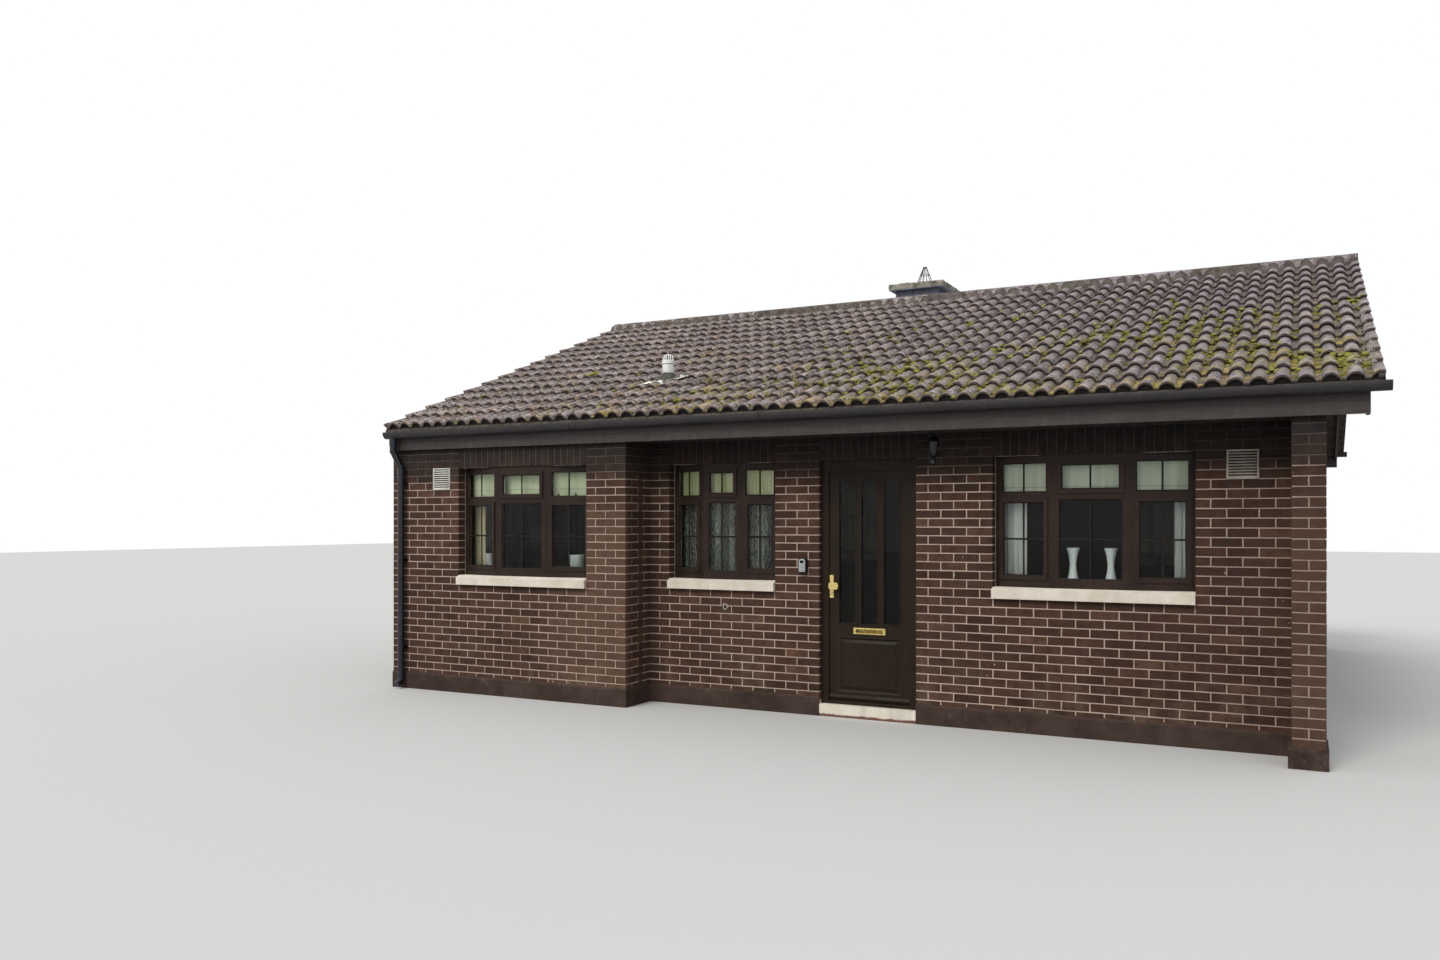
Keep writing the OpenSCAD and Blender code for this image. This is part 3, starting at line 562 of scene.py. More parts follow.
def flashing_finish():
    """Lead sheet: bare and pale where the attribute tone is one, dark with dirt and lichen where it is
    nought."""
    f = Finish("lead_flashing", 0.6, 0.3)
    cloud = f.noise(30.0, 6.0, 0.7)
    bare = f.mix(f.span(cloud, 0.44, 0.62), (255, 255, 252), (214, 212, 206))
    dirty = f.mix(f.span(cloud, 0.42, 0.60), (84, 82, 72), (122, 117, 104))
    edge = f.plus(f.attribute(), f.times(f.maths("SUBTRACT", cloud, 0.5), 0.5))
    f.colour = f.mix(f.span(edge, 0.42, 0.58), dirty, bare)
    f.done(cloud, 0.3)


def cowl_finish():
    """Pale moulded plastic with grey dirt; where the attribute tone is nought, in the slots, painted shade
    makes it black, and where it is 0.4, in the seam, it is much darkened.
    """
    f = Finish("cowl_white", 0.5, 0.4)
    f.colour = f.mix(f.times(f.patches(16.0, 6.0, 0.6, 0.40, 0.72), 0.30), (250, 251, 250), (204, 202, 194))
    f.tint(f.weather(40.0, level=0.52)[0], (130, 128, 120), 0.25)
    # painted shade: black in the slots and dark in the seam groove
    f.tint(f.span(f.attribute(), 0.7, 0.2), (34, 32, 34))
    f.done(f.noise(90.0, 3.0), 0.08, 0.001)


for make in (moss_finish, glass_finish, flashing_finish, cowl_finish):
    make()
for make, rows in {
    # the chimney's brick is made darker and blue-grey: soot, with painted shade and a painted sky tint
    # the pier's brick is the same brown brick made darker: painted shade
    brick_finish: [("brown_brick",), ("pier_brick", 0.88), ("smoked_brick", 0.7, 0.7)],
    mortar_finish: [("mortar",), ("mortar_and_plaster_front", (-3.70, -3.68)),
                    ("mortar_and_plaster_bay", (-4.16, -4.14)), ("mortar_and_plaster_rear", (4.17, 4.15))],
    tile_finish: [("roof_tile",), ("ridge_tile", 0.8)],
    stone_finish: [
        ("plinth_render", (80, 64, 57), (62, 49, 43), (118, 101, 90)),
        ("rough_concrete", (88, 70, 62), (54, 42, 37), (150, 138, 128), 2.2, {"bump": 0.9}),
        # painted shade: the floor slab inside is dark so the rooms look dim
        ("floor_concrete", (62, 57, 52), (50, 46, 42), (78, 72, 66), 0.8),
        # the cap's underside is painted pale blue: a painted sky reflection
        ("cap_concrete", (172, 166, 152), (92, 88, 80), (214, 210, 200), 3.2,
         {"green": 0.10, "bump": 0.9, "streak": 0.4, "under": (4.692, (206, 216, 240))}),
        # the stack's core mortar is dark blue-grey: soot, with painted shade and a painted sky tint
        ("smoked_mortar", (96, 98, 108), (70, 72, 80), (116, 118, 126), 2.0),
        ("eaves_comb", (44, 42, 40), (32, 30, 29), (76, 74, 60), 6.0),
        ("sill_stone", (246, 237, 223), (228, 217, 199), (250, 244, 234), 1.2,
         {"rough": 0.8, "streak": 0.12}),
        ("step_paint", (252, 245, 230), (238, 229, 212), (254, 250, 242), 1.5,
         {"rough": 0.75, "foot": 0.08}),
        ("blockwork", (128, 124, 118), (104, 100, 95), (150, 146, 140), 0.7),
        # painted shade: the ceiling's plaster is mid-grey so the rooms look dim
        ("plaster", (120, 115, 106), (108, 103, 95), (130, 126, 118), 0.5, {"bump": 0.1}),
        ("ridge_mortar", (112, 104, 98), (78, 70, 66), (160, 154, 146), 3.0, {"green": 0.25, "bump": 0.9}),
        ("lichen_crust", (170, 163, 156), (128, 118, 110), (200, 196, 190), 6.0, {"bump": 0.9}),
        ("pale_sealant", (196, 188, 178), (160, 150, 140), (216, 212, 204), 6.0, {"bump": 0.5}),
        ("louvre_white", (238, 238, 229), (216, 215, 205), (244, 244, 238), 2.0,
         {"rough": 0.5, "bump": 0.1}),
        ("louvre_beige", (206, 198, 186), (174, 164, 152), (224, 217, 206), 2.0,
         {"rough": 0.6, "bump": 0.1}),
        ("collar_dark", (98, 100, 92), (66, 66, 60), (130, 130, 118), 5.0, {"green": 0.3, "bump": 0.5})],
    board_finish: [("brown_board", (69, 62, 60), (51, 45, 43), (110, 104, 101)),
                   ("soffit_board", (50, 44, 42), (36, 31, 30), (72, 66, 64))],
    joinery_finish: [("frame_brown", (52, 39, 33), (38, 28, 23), (72, 56, 49), 0.42),
                     ("door_brown", (40, 29, 19), (29, 20, 12), (54, 40, 28), 0.45),
                     ("bar_dark", (36, 29, 26), (27, 22, 20), (48, 40, 36), 0.5)],
    metal_finish: [("brass", (244, 228, 160), (196, 170, 96), 0.32, 0.8),
                   # a darker, duller copy of the brass for the letter plate's flap: painted shade
                   ("brass_dull", (150, 132, 62), (108, 92, 40), 0.4, 0.5),
                   ("guard_wire", (86, 62, 56), (58, 40, 36), 0.55, 0.5),
                   ("lantern_black", (26, 27, 31), (14, 15, 18), 0.35, 0.2),
                   ("safe_silver", (206, 208, 206), (172, 175, 176), 0.38, 0.35)],
    plastic_finish: [("gutter_brown", (36, 32, 34), (60, 56, 57), 0.4),
                     ("pipe_black", (14, 17, 23), (38, 46, 60), 0.2),
                     ("rubber_black", (18, 18, 19), (34, 34, 35), 0.6),
                     ("dark_gap", (12, 11, 11), (20, 19, 18), 0.9),
                     ("button_grey", (150, 152, 152), (176, 178, 178), 0.5),
                     ("milk_glass", (58, 61, 70), (80, 84, 94), 0.2),
                     ("white_glaze", (214, 222, 220), (226, 232, 230), 0.15),
                     ("painted_wood", (200, 196, 186), (186, 182, 172), 0.4)],
    cloth_finish: [("blind_cloth", (214, 222, 190), (192, 200, 164), {"line": 2.085}),
                   ("blind_pale", (218, 224, 204), (190, 198, 176), {"line": 2.05}),
                   ("pleated_cloth", (242, 244, 198), (186, 190, 138)),
                   ("curtain_cloth", (182, 172, 138), (140, 132, 102)),
                   ("curtain_pale", (206, 210, 206), (160, 164, 160)),
                   ("net_cloth", (150, 154, 148), (92, 96, 90), {"lace": 0.62})],
}.items():
    for row in rows:
        make(*[v for v in row if not isinstance(v, dict)], **(row[-1] if isinstance(row[-1], dict) else {}))

for finish, names in {
    "floor_concrete": "floor_slab", "plinth_render": "plinth", "rough_concrete": "pier_base",
    "mortar_and_plaster_bay": "bay_wall", "mortar": "return_wall right_pier",
    "mortar_and_plaster_front": "front_wall_middle wall_over_door front_wall_right",
    "mortar_and_plaster_rear": "rear_wall", "blockwork": "party_wall_left party_wall_right",
    "plaster": "ceiling",
    "ridge_mortar": "roof_front roof_rear ridge_tiles",
    "brown_board": "fascia_front rear_eaves_boards bargeboard",
    "soffit_board": "soffit_front", "gutter_brown": "gutter_front gutter_rear",
    "pipe_black": "downpipe_front downpipe_rear", "smoked_mortar": "chimney_stack",
    "cap_concrete": "chimney_cap",
    "guard_wire": "bird_guard", "cowl_white": "roof_vent", "sill_stone": "window_sills",
    "frame_brown": "window_frame_left window_frame_middle window_frame_right rear_window_frames",
    "window_glass": "window_glass_left window_glass_middle window_glass_right rear_window_glass door_glass",
    "door_brown": "door_frame front_door", "step_paint": "door_step", "brass": "letterbox door_handle",
    "louvre_white": "louvre_vent_left", "louvre_beige": "louvre_vent_right", "lantern_black": "wall_lantern",
    "safe_silver": "key_safe",
}.items():
    for name in names.split():
        nodes[name].data.materials.clear()
        nodes[name].data.materials.append(FINISHES[finish])


# ---------------------------------------------------------------- brickwork
PROUD, BRICK_EDGE, BEHIND = 4.0, 2.0, 2.0
COURSES = np.arange(-1, 31)
X, Y, NX, NY = (1, 0), (0, 1), (-1, 0), (0, -1)


def bow_front(window, share, x):
    """How far a window's frame stands behind the brick face at x: 102 mm at the two ends, less up to 88 mm
    in proportion to the way along the side light."""
    way = np.minimum(x - window[0], window[1] - x) / (share * (window[1] - window[0]))
    return WINDOW_BACK - WINDOW_BOW * np.clip(way, 0, 1)


def course_bricks(low, high, odd_on_joint, holes=(), low_end=0.0, high_end=0.0):
    """Stretcher bond between low and high: in one course joints fall on whole bricks, in the next on half
    bricks. Bricks are cut at the holes, and those that end at one reach back to its frame. Gives rows of u0,
    u1, z0, z1, depth behind the face."""
    rows = []
    for k in COURSES:
        z0, z1 = FIRST_COURSE + COURSE * k + JOINT / 2, FIRST_COURSE + COURSE * (k + 1) - JOINT / 2
        phase = 0.0 if (k % 2 == 1) == odd_on_joint else BRICK / 2
        j = np.arange(math.floor((low - phase) / BRICK) - 1, math.ceil((high - phase) / BRICK) + 2)
        a, b = phase + BRICK * j + JOINT / 2, phase + BRICK * (j + 1) - JOINT / 2
        a, b = np.maximum(a, low), np.minimum(b, high)
        back = np.full(len(a), BEHIND)
        for h0, h1, hz0, hz1, deep in holes:
            if z1 <= hz0 or z0 >= hz1:
                continue
            left, right = (a < h0) & (b > h0 - 1), (a < h1 + 1) & (b > h1)
            b = np.where(left, h0 + 1.0, b)
            a = np.where(right, h1 - 1.0, a)
            back = np.where(left | right, deep, back)
            b = np.where((a >= h0 - 0.5) & (b <= h1 + 0.5) & ~left & ~right, a, b)
        a = np.where(a < low + 6, low - low_end, a)
        b = np.where(b > high - 6, high + high_end, b)
        rows.append(
            np.stack([a, b, np.full(len(a), z0), np.full(len(a), z1), back], -1)[b - a > LEAST_BRICK])
    return np.concatenate(rows)


def soldier_bricks(opening, share=0.0):
    """Bricks on end over an opening, one every 75 mm, reaching back to the frame under them, which in a
    window follows the bow."""
    low, high = opening
    n = int((high - low) // COURSE)
    pitch = (high - low) / n
    a = low + pitch * np.arange(n) + JOINT / 2
    depth = bow_front(opening, share, a + pitch / 2 - JOINT / 2) + 8.0 if share else np.full(n, 52.0)
    return np.stack([a, a + pitch - JOINT, np.full(n, HEAD - 0.6), np.full(n, HEAD + BRICK - JOINT),
                     depth], -1)


def lay(rows, origin, right):
    """Brick blocks of a wall face: each point is origin + u right + z up + w outward, with w from behind the
    face to 4 mm proud of it, a chamfer of 2 mm round the face, and a small shift and tilt for each brick."""
    n = len(rows)
    u0, u1, z0, z1, back = rows.T
    tilt_u, tilt_z = rng.normal(0, 0.004, (n, 1)), rng.normal(0, 0.008, (n, 1))
    out = PROUD + rng.normal(0, 0.5, (n, 1))
    wander = rng.normal(0, 0.6, (2, n, 4))
    rings = []
    for w, inset, face in ((-back[:, None], 0.0, 0), (out - BRICK_EDGE, 0.0, 1), (out, BRICK_EDGE, 1)):
        u = np.where([0, 1, 1, 0], u1[:, None] - inset, u0[:, None] + inset)
        z = np.where([0, 0, 1, 1], z1[:, None] - inset, z0[:, None] + inset)
        if face:
            u, z = u + wander[0] * (back[:, None] < 10), z + wander[1]
            w = w + tilt_u * (u - u.mean(1, keepdims=True)) + tilt_z * (z - z.mean(1, keepdims=True))
        rings.append((u, np.broadcast_to(w, u.shape), z))
    u, w, z = (np.stack([r[i] for r in rings], 1).reshape(-1, 1) for i in range(3))
    points = (np.asarray(origin, float) + u * np.array([*right, 0.0])
              + w * np.array([right[1], -right[0], 0.0]))
    tone = np.clip(rng.normal(0.5, 0.24, n), 0, 1)
    return points + z * np.array([0.0, 0.0, 1.0]), ring_faces(n), np.repeat(tone, 12)


def brick_piece(name, walls, finish="brown_brick", slot="brown_brick"):
    """One piece of brickwork from several walls: rows of bricks, the corner they start from, and the way
    they run."""
    laid = [lay(*wall) for wall in walls]
    points, faces = joined([(p, f) for p, f, _ in laid])
    piece(name, points, faces, finish, slot, tone=np.concatenate([t for _, _, t in laid]))


def over(opening):
    """The place of the soldier course over an opening."""
    return (*opening, HEAD, HEAD + BRICK, BEHIND)


def holes(*windows):
    """Holes for windows in the bond, and for the soldier courses over them."""
    return [(*w, SILL_UNDER, HEAD, WINDOW_BACK - 3.0) for w in windows] + [over(w) for w in windows]


def pier_rows():
    """Front of the pier: two headers in even courses, one stretcher in odd ones."""
    rows = []
    for k in COURSES:
        for a, b in [(-3.0, 102.5), (112.5, 218.0)] if k % 2 == 0 else [(-3.0, 218.0)]:
            rows.append((PIER_X + a, PIER_X + b, FIRST_COURSE + 5 + COURSE * k,
                         FIRST_COURSE + 70 + COURSE * k, BEHIND))
    return np.array(rows)


def chimney_rows(length, parity):
    """Nine courses of the stack, counted down from the cap, bonded by half bricks."""
    rows, base = [], STACK_TOP - 9 * COURSE
    for k in range(9):
        a = (0.0 if (k + parity) % 2 == 0 else -BRICK / 2) + BRICK * np.arange(5)
        for p, q in zip(np.maximum(a, 0), np.minimum(a + BRICK - JOINT, length)):
            if q - p > LEAST_BRICK:
                rows.append((p - 3 * (p < 1), q + 3 * (q > length - 1), base + COURSE * k + 5,
                             base + COURSE * k + 70, BEHIND))
    return np.array(rows)


REAR_L, REAR_R = ((-high, -low) for low, high in (WINDOW_L, WINDOW_R))
brick_piece("bay_brickwork", [
    (np.concatenate([course_bricks(LEFT_X + 5, 0, True, holes(WINDOW_L), 0, 3),
                     soldier_bricks(WINDOW_L, LARGE)]),
     (0, BAY_Y, 0), X),
    (course_bricks(BAY_Y, 0, False, (), 3, 0), (0, 0, 0), Y)])
brick_piece("door_wall_brickwork", [
    (np.concatenate([
        course_bricks(0, PIER_X, True,
                      holes(WINDOW_M) + [(*DOORWAY, 0, HEAD, 49.0), over(DOORWAY)] + holes(WINDOW_R)),
        soldier_bricks(WINDOW_M, SMALL), soldier_bricks(DOORWAY), soldier_bricks(WINDOW_R, LARGE)]),
     (0, 0, 0), X)])
# painted shade: the pier uses a darker copy of the brown brick
brick_piece("pier_brickwork", [
    (pier_rows(), (0, BAY_Y, 0), X),
    (course_bricks(BAY_Y, 0, False, (), 3, 0), (RIGHT_X, 0, 0), Y),
    (course_bricks(0, -BAY_Y, False, (), 0, 3), (PIER_X, 0, 0), NY)], "pier_brick", "pier_brick")
brick_piece("rear_brickwork", [
    (np.concatenate([
        course_bricks(-RIGHT_X + 5, -LEFT_X - 5, True, holes(REAR_L, REAR_R)),
        soldier_bricks(REAR_L, LARGE), soldier_bricks(REAR_R, LARGE)]), (0, REAR_Y, 0), NX)])
# the stack's brick is darker and blue-grey: soot, with painted shade and a painted sky tint
brick_piece("chimney_brickwork", [
    (chimney_rows(STACK[1] - STACK[0], 0), (STACK[0], STACK[2], 0), X),
    (chimney_rows(STACK[1] - STACK[0], 0), (STACK[1], STACK[3], 0), NX),
    (chimney_rows(STACK[3] - STACK[2], 1), (STACK[1], STACK[2], 0), Y),
    (chimney_rows(STACK[3] - STACK[2], 1), (STACK[0], STACK[3], 0), NY)], "smoked_brick")


def chimney_slab():
    """The cast cap of the stack with its worn edges: rings of 96 points from the underside round the edge
    and over the sloping top to the flue. The outer rings follow the slab's rectangle, the inner ones are
    circles that carry the low mound of mortar round the wire guard; each point wanders by a few
    millimetres."""
    draw = np.random.default_rng(12)
    half = np.array([357.5, 395.0])
    side, one = np.linspace(-1, 1, 24, endpoint=False), np.ones(24)
    square = np.concatenate([np.stack(pair, 1)
                             for pair in ((side, -one), (one, side), (-side, one), (-one, -side))])
    rounds = square / np.linalg.norm(square, axis=1)[:, None]
    rings = [square * (half - inset) for inset in (60.0, 6.0, 0.0, 2.0, 1.0, 4.0, 10.0, 34.0, 70.0)]
    rings += [rounds * r for r in (215.0, 150.0, 130.0, 112.0, 106.0, 90.0, 85.0, 85.0)]
    level = np.array([-86.0, -86, -78, -58, -38, -20, -10, -7, -4, -2, 0, 11, 14, 9, 0, 0, -46])[:, None]
    rough = np.array([0.0, 2.5, 3.0, 3.5, 3.5, 4.0, 3.5, 3.0, 2.5, 2.0, 2.0, 2.0, 1.0, 0.0, 0.0, 0.0,
                      0.0])[:, None]
    push, rise = (w + np.roll(w, 1, 1) for w in draw.normal(0, 0.7, (2, 17, 96)))
    points = np.empty((17, 96, 3))
    centre = (np.array(STACK[::2]) + STACK[1::2]) / 2
    points[:, :, :2] = centre + np.array(rings) - rounds * np.abs(rough * push)[:, :, None]
    points[:, :, 2] = CAP_TOP + level + rough * rise * (level > -80)
    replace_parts(piece("chimney_slab", *skin(points), "cap_concrete", "concrete", sharp=38), "chimney_cap")


chimney_slab()

# ---------------------------------------------------------------- roof tiles
ACROSS = np.array([0.0, 0.07, 0.12, 0.145, 0.19, 0.26, 0.34, 0.42, 0.5, 0.58, 0.66, 0.74, 0.81, 0.855, 0.88,
                   0.93])
ROLL_HEIGHT, TILE_LIFT, TILE_THICK, TILE_HEAD, PHASE = 46.0, 27.0, 21.0, 2.0, 0.32
GROWTH_TOP, LUMP_X = 4600, 2961
TILE = {"slot": "concrete_tile", "smooth": True}


def roll_height(t, up=0.0):
    """Height of the tile's wave at t, the share of one roll's width: an ellipse-like roll over the middle
    76% and a flat pan beside it. Towards the head of the tile, up = 1, the roll is a little lower and
    narrower."""
    r = np.clip(np.abs(np.mod(t, 1.0) - 0.5) / (0.38 - 0.05 * up), 0, 1)
    return (ROLL_HEIGHT - 7.0 * up) * (1 - r ** 2) ** 0.62


def on_slope(x, s, n):
    """A point s up the front slope from the eaves edge and n above the tiling plane."""
    return np.stack([x, EAVES_Y + s * math.cos(PITCH) - n * math.sin(PITCH),
                     EAVES_Z + s * math.sin(PITCH) + n * math.cos(PITCH)], -1)


def tile_top(x, s):
    """Height of the tiles' upper side over the tiling plane at x, s."""
    up = np.mod(s + 4.0, GAUGE) / GAUGE
    return roll_height((x - LEFT_X) / ROLL - PHASE, up) + TILE_LIFT - (TILE_LIFT - TILE_HEAD) * up


def tile_shells(t, columns):
    """Tiles of the given columns over the sections t, each a closed shell. Its section up the slope is a
    loop of seven points: under side, nose, top; the top falls from 27 mm at the nose to 2 mm under the next
    course. Across, the loop follows the rolls. Each tile has its own small lift, shift and skew."""
    m, rows = len(t), 15
    j, i = (a.ravel() for a in np.meshgrid(np.arange(rows), np.asarray(columns), indexing="ij"))
    n = len(j)
    lift, slip, skew = rng.normal(0, 1.3, n), rng.normal(0, 3.0, n), rng.normal(0, 2.2, n)
    s_local = np.array([75.0, 0.0, -1.5, 4.0, 165.0, GAUGE + 18.0, GAUGE + 18.0])
    drop = np.array([9.0, TILE_THICK, 5.0, 0.0, 0.0, 0.0, 3.0])
    up = np.clip(s_local / GAUGE, 0, 1)
    s = np.clip((GAUGE * j - 4.0)[:, None] + slip[:, None] + s_local[None], -9.0, SLOPE - 14.0)
    x = LEFT_X + ROLL * (PHASE + 2 * i[:, None] + t[None])
    x = np.clip(x + rng.normal(0, 0.7, n)[:, None], LEFT_X + 1, VERGE_X - 1)
    wave = roll_height(t[None], up[:, None])
    fall = TILE_LIFT - (TILE_LIFT - TILE_HEAD) * up
    height = np.maximum(wave[None] + (fall - drop)[None, :, None] + lift[:, None, None], 0.6)
    along = s[:, :, None] + skew[:, None, None] * (t[None, None, :] - 1.0)
    points = on_slope(np.broadcast_to(x[:, None, :], height.shape), along, height).reshape(-1, 3)
    loop, c = np.arange(7), np.arange(m - 1)[None]
    a, b = loop[:, None] * m + c, ((loop + 1) % 7)[:, None] * m + c
    faces = flipped(repeated([np.stack([a, a + 1, b + 1, b], -1).reshape(-1, 4), (loop * m)[None],
                              (loop * m + m - 1)[None, ::-1]], n, 7 * m))
    tone = np.repeat(np.clip(rng.normal(0.5, 0.24, n), 0, 1), 7 * m)
    pan = np.tile(np.clip(1 - wave / (0.42 * ROLL_HEIGHT), 0, 1).ravel(), n)
    # nose: where the painted shade under each course lies, on the nose's face and underside and on the head
    # below the next course
    nose = np.tile(np.repeat([0.9, 1.0, 0.85, 0.0, 0.0, 0.75, 0.75], m), n)
    return points, faces, tone, pan, nose


for name, rear in (("roof_tiles_front", False), ("roof_tiles_rear", True)):
    # every double-roll tile of the slope, with the cut tiles at both ends
    t, end = np.sort(np.concatenate([ACROSS, 1 + ACROSS, [2.0]])), 2.0 - PHASE
    groups = [tile_shells(t, range(29)), tile_shells(np.append(t[t < end - 0.01], end), [29]),
              tile_shells(np.concatenate([[end], t[t > end + 0.01]]), [-1])]
    tone, pan, nose = (np.concatenate([g[k] for g in groups]) for k in (2, 3, 4))
    piece(name, *joined([g[:2] for g in groups]), "roof_tile", "concrete_tile", sharp=42, rear=rear,
          tone=tone, pan=pan, nose=nose)


def eaves_comb(name, rear):
    """Dark comb that closes the hollows under the rolls at the eaves: a 6 mm thick upright strip across the
    slope whose top edge follows the underside of the tiles."""
    x = np.sort(np.concatenate([LEFT_X + ROLL * (PHASE + k + ACROSS) for k in range(-1, 60)]))
    x = x[(x > LEFT_X + 3) & (x < VERGE_X - 3)]
    top = roll_height((x - LEFT_X) / ROLL - PHASE) + TILE_LIFT - TILE_THICK - 1.5
    low = np.full(len(x), 0.6)
    ring = [(9.0, low), (9.0, top), (15.0, top), (15.0, low)]
    piece(name, *skin(np.stack([on_slope(x, np.full(len(x), s), n) for s, n in ring], 1)), "eaves_comb",
          "gutter_brown", rear=rear)


eaves_comb("eaves_comb_front", False)
eaves_comb("eaves_comb_rear", True)


def domes(px, ps, pn, x, s, top):
    """Low domes on the slope, each two rings of points (px, ps, pn), of shape domes by rings by points, and
    a top."""
    n, m = len(x), px.shape[2]
    rings = np.stack([px, ps, pn], -1).reshape(n, 2 * m, 3)
    local = np.concatenate([rings, np.stack([x, s, top], -1)[:, None]], 1).reshape(-1, 3)
    k, l = np.arange(m), (np.arange(m) + 1) % m
    faces = [np.stack([k, l, l + m, k + m], -1),
             np.stack([k + m, l + m, np.full(m, 2 * m)], -1), k[None, ::-1]]
    return on_slope(local[:, 0], local[:, 1], np.maximum(local[:, 2], 0.5)), repeated(faces, n, 2 * m + 1)


def moss_cushions(name, clumps, rear):
    """Cushions of moss, in clumps of two to twenty-seven that lie in the pans just below the noses: each a
    low dome of two rings of six points and a top, its radius wandering from point to point. Clumps gather
    where a smooth wave of growth is high, in the lower half of the slope and towards the open verge."""
    draw = np.random.default_rng(7 + rear)
    many = 30 * clumps
    roll, row = draw.integers(0, 60, many), draw.integers(0, 14, many)
    x = LEFT_X + ROLL * (roll + PHASE + draw.normal(0, 0.05, many))
    s = GAUGE * row + draw.choice([-14.0, 24.0, 120.0, 290.0, 318.0, 325.0], many) + draw.normal(0, 12, many)
    wave = 0.5 + 0.5 * np.sin(x / 610 + 1.3 * np.sin(s / 700)) * np.cos(s / 540 + x / 1900)
    middle = np.exp(-((s - 900) / 1500) ** 2)
    near_verge = 0.10 + 0.66 / (1 + np.exp(-(x - 500) / 800))
    pick = np.flatnonzero(draw.random(many) < wave ** 1.5 * middle * near_verge)[:clumps]
    count = draw.integers(2, 10, len(pick)) * np.where(draw.random(len(pick)) < 0.14, 3, 1)
    own = np.repeat(np.arange(len(pick)), count)
    n = len(own)
    loose = np.sqrt(count[own] / 6)
    x = x[pick][own] + loose * np.clip(draw.normal(0, 16, n), -34, 34)
    s = s[pick][own] + loose * draw.normal(0, 17, n)
    wide = np.clip(draw.gamma(3.2, 5.0, n), 6, 32)
    keep = (s > 14) & (s < GROWTH_TOP) & (x > LEFT_X + 30) & (x < VERGE_X - 34)
    x, s, wide, own = x[keep], s[keep], wide[keep], own[keep]
    n = len(x)
    tall = wide * draw.uniform(0.35, 0.75, n)
    a = circle(6) + draw.uniform(0, 1, n)[:, None, None]
    r = wide[:, None, None] * np.array([1.0, 0.72])[None, :, None] * draw.uniform(0.62, 1.35, (n, 2, 6))
    base = tile_top(x, s) - 2.0
    pn = base[:, None, None] + tall[:, None, None] * np.array([-0.1, 0.72])[None, :, None]
    mesh = domes(x[:, None, None] + 0.95 * r * np.cos(a), s[:, None, None] + 1.15 * r * np.sin(a),
                 pn * np.ones((1, 1, 6)) + draw.normal(0, 1.2, (n, 2, 6)), x, s, base + tall)
    of_clump = draw.random(len(pick))[own] * 0.6 + draw.random(n) * 0.2
    tone = np.repeat(of_clump, 13) + 0.2 * np.tile(np.repeat([0, 0.6], 6).tolist() + [1.0], n)
    piece(name, *mesh, "moss", **TILE, rear=rear, tone=tone)


moss_cushions("moss_front", 860, False)
moss_cushions("moss_rear", 300, True)


def verge_lumps():
    """Old mortar and lichen on the last roll by the open verge: lumps of 12 to 34 mm strewn along it,
    thickest in the lower third, and thinly over the rest of the slope. Each is a dome of two rings of seven
    points and a top, n = tile top + tall (1 - r squared), with a wandering edge."""
    draw = np.random.default_rng(5)
    s = np.concatenate([draw.gamma(2.2, 480, 150), draw.uniform(30, GROWTH_TOP, 70)])
    x = np.concatenate([VERGE_X - 26 - draw.gamma(1.6, 26, 150),
                        draw.uniform(LEFT_X + 40, VERGE_X - 60, 70)])
    keep = (s < GROWTH_TOP) & (s > 12) & (x > LEFT_X + 40)
    x, s, n = x[keep], s[keep], int(keep.sum())
    wide = np.concatenate([draw.uniform(12, 34, 150), draw.uniform(7, 18, 70)])[keep]
    tall = wide * draw.uniform(0.12, 0.4, n)
    draw = np.random.default_rng(6)
    a = circle(7) + draw.uniform(0, 1, n)[:, None, None]
    r = wide[:, None, None] * np.array([1.0, 0.6])[None, :, None] * draw.uniform(0.6, 1.4, (n, 2, 7))
    px, ps = x[:, None, None] + r * np.cos(a), s[:, None, None] + r * np.sin(a)
    px = np.clip(px, LEFT_X + 2, VERGE_X - 2)
    pn = tile_top(px, ps) + np.stack([np.full(n, -2.0), 0.62 * tall], 1)[:, :, None]
    piece("verge_lumps", *domes(px, ps, pn, x, s, tile_top(x, s) + tall), "lichen_crust", **TILE,
          tone=np.repeat(draw.random(n), 15))


verge_lumps()


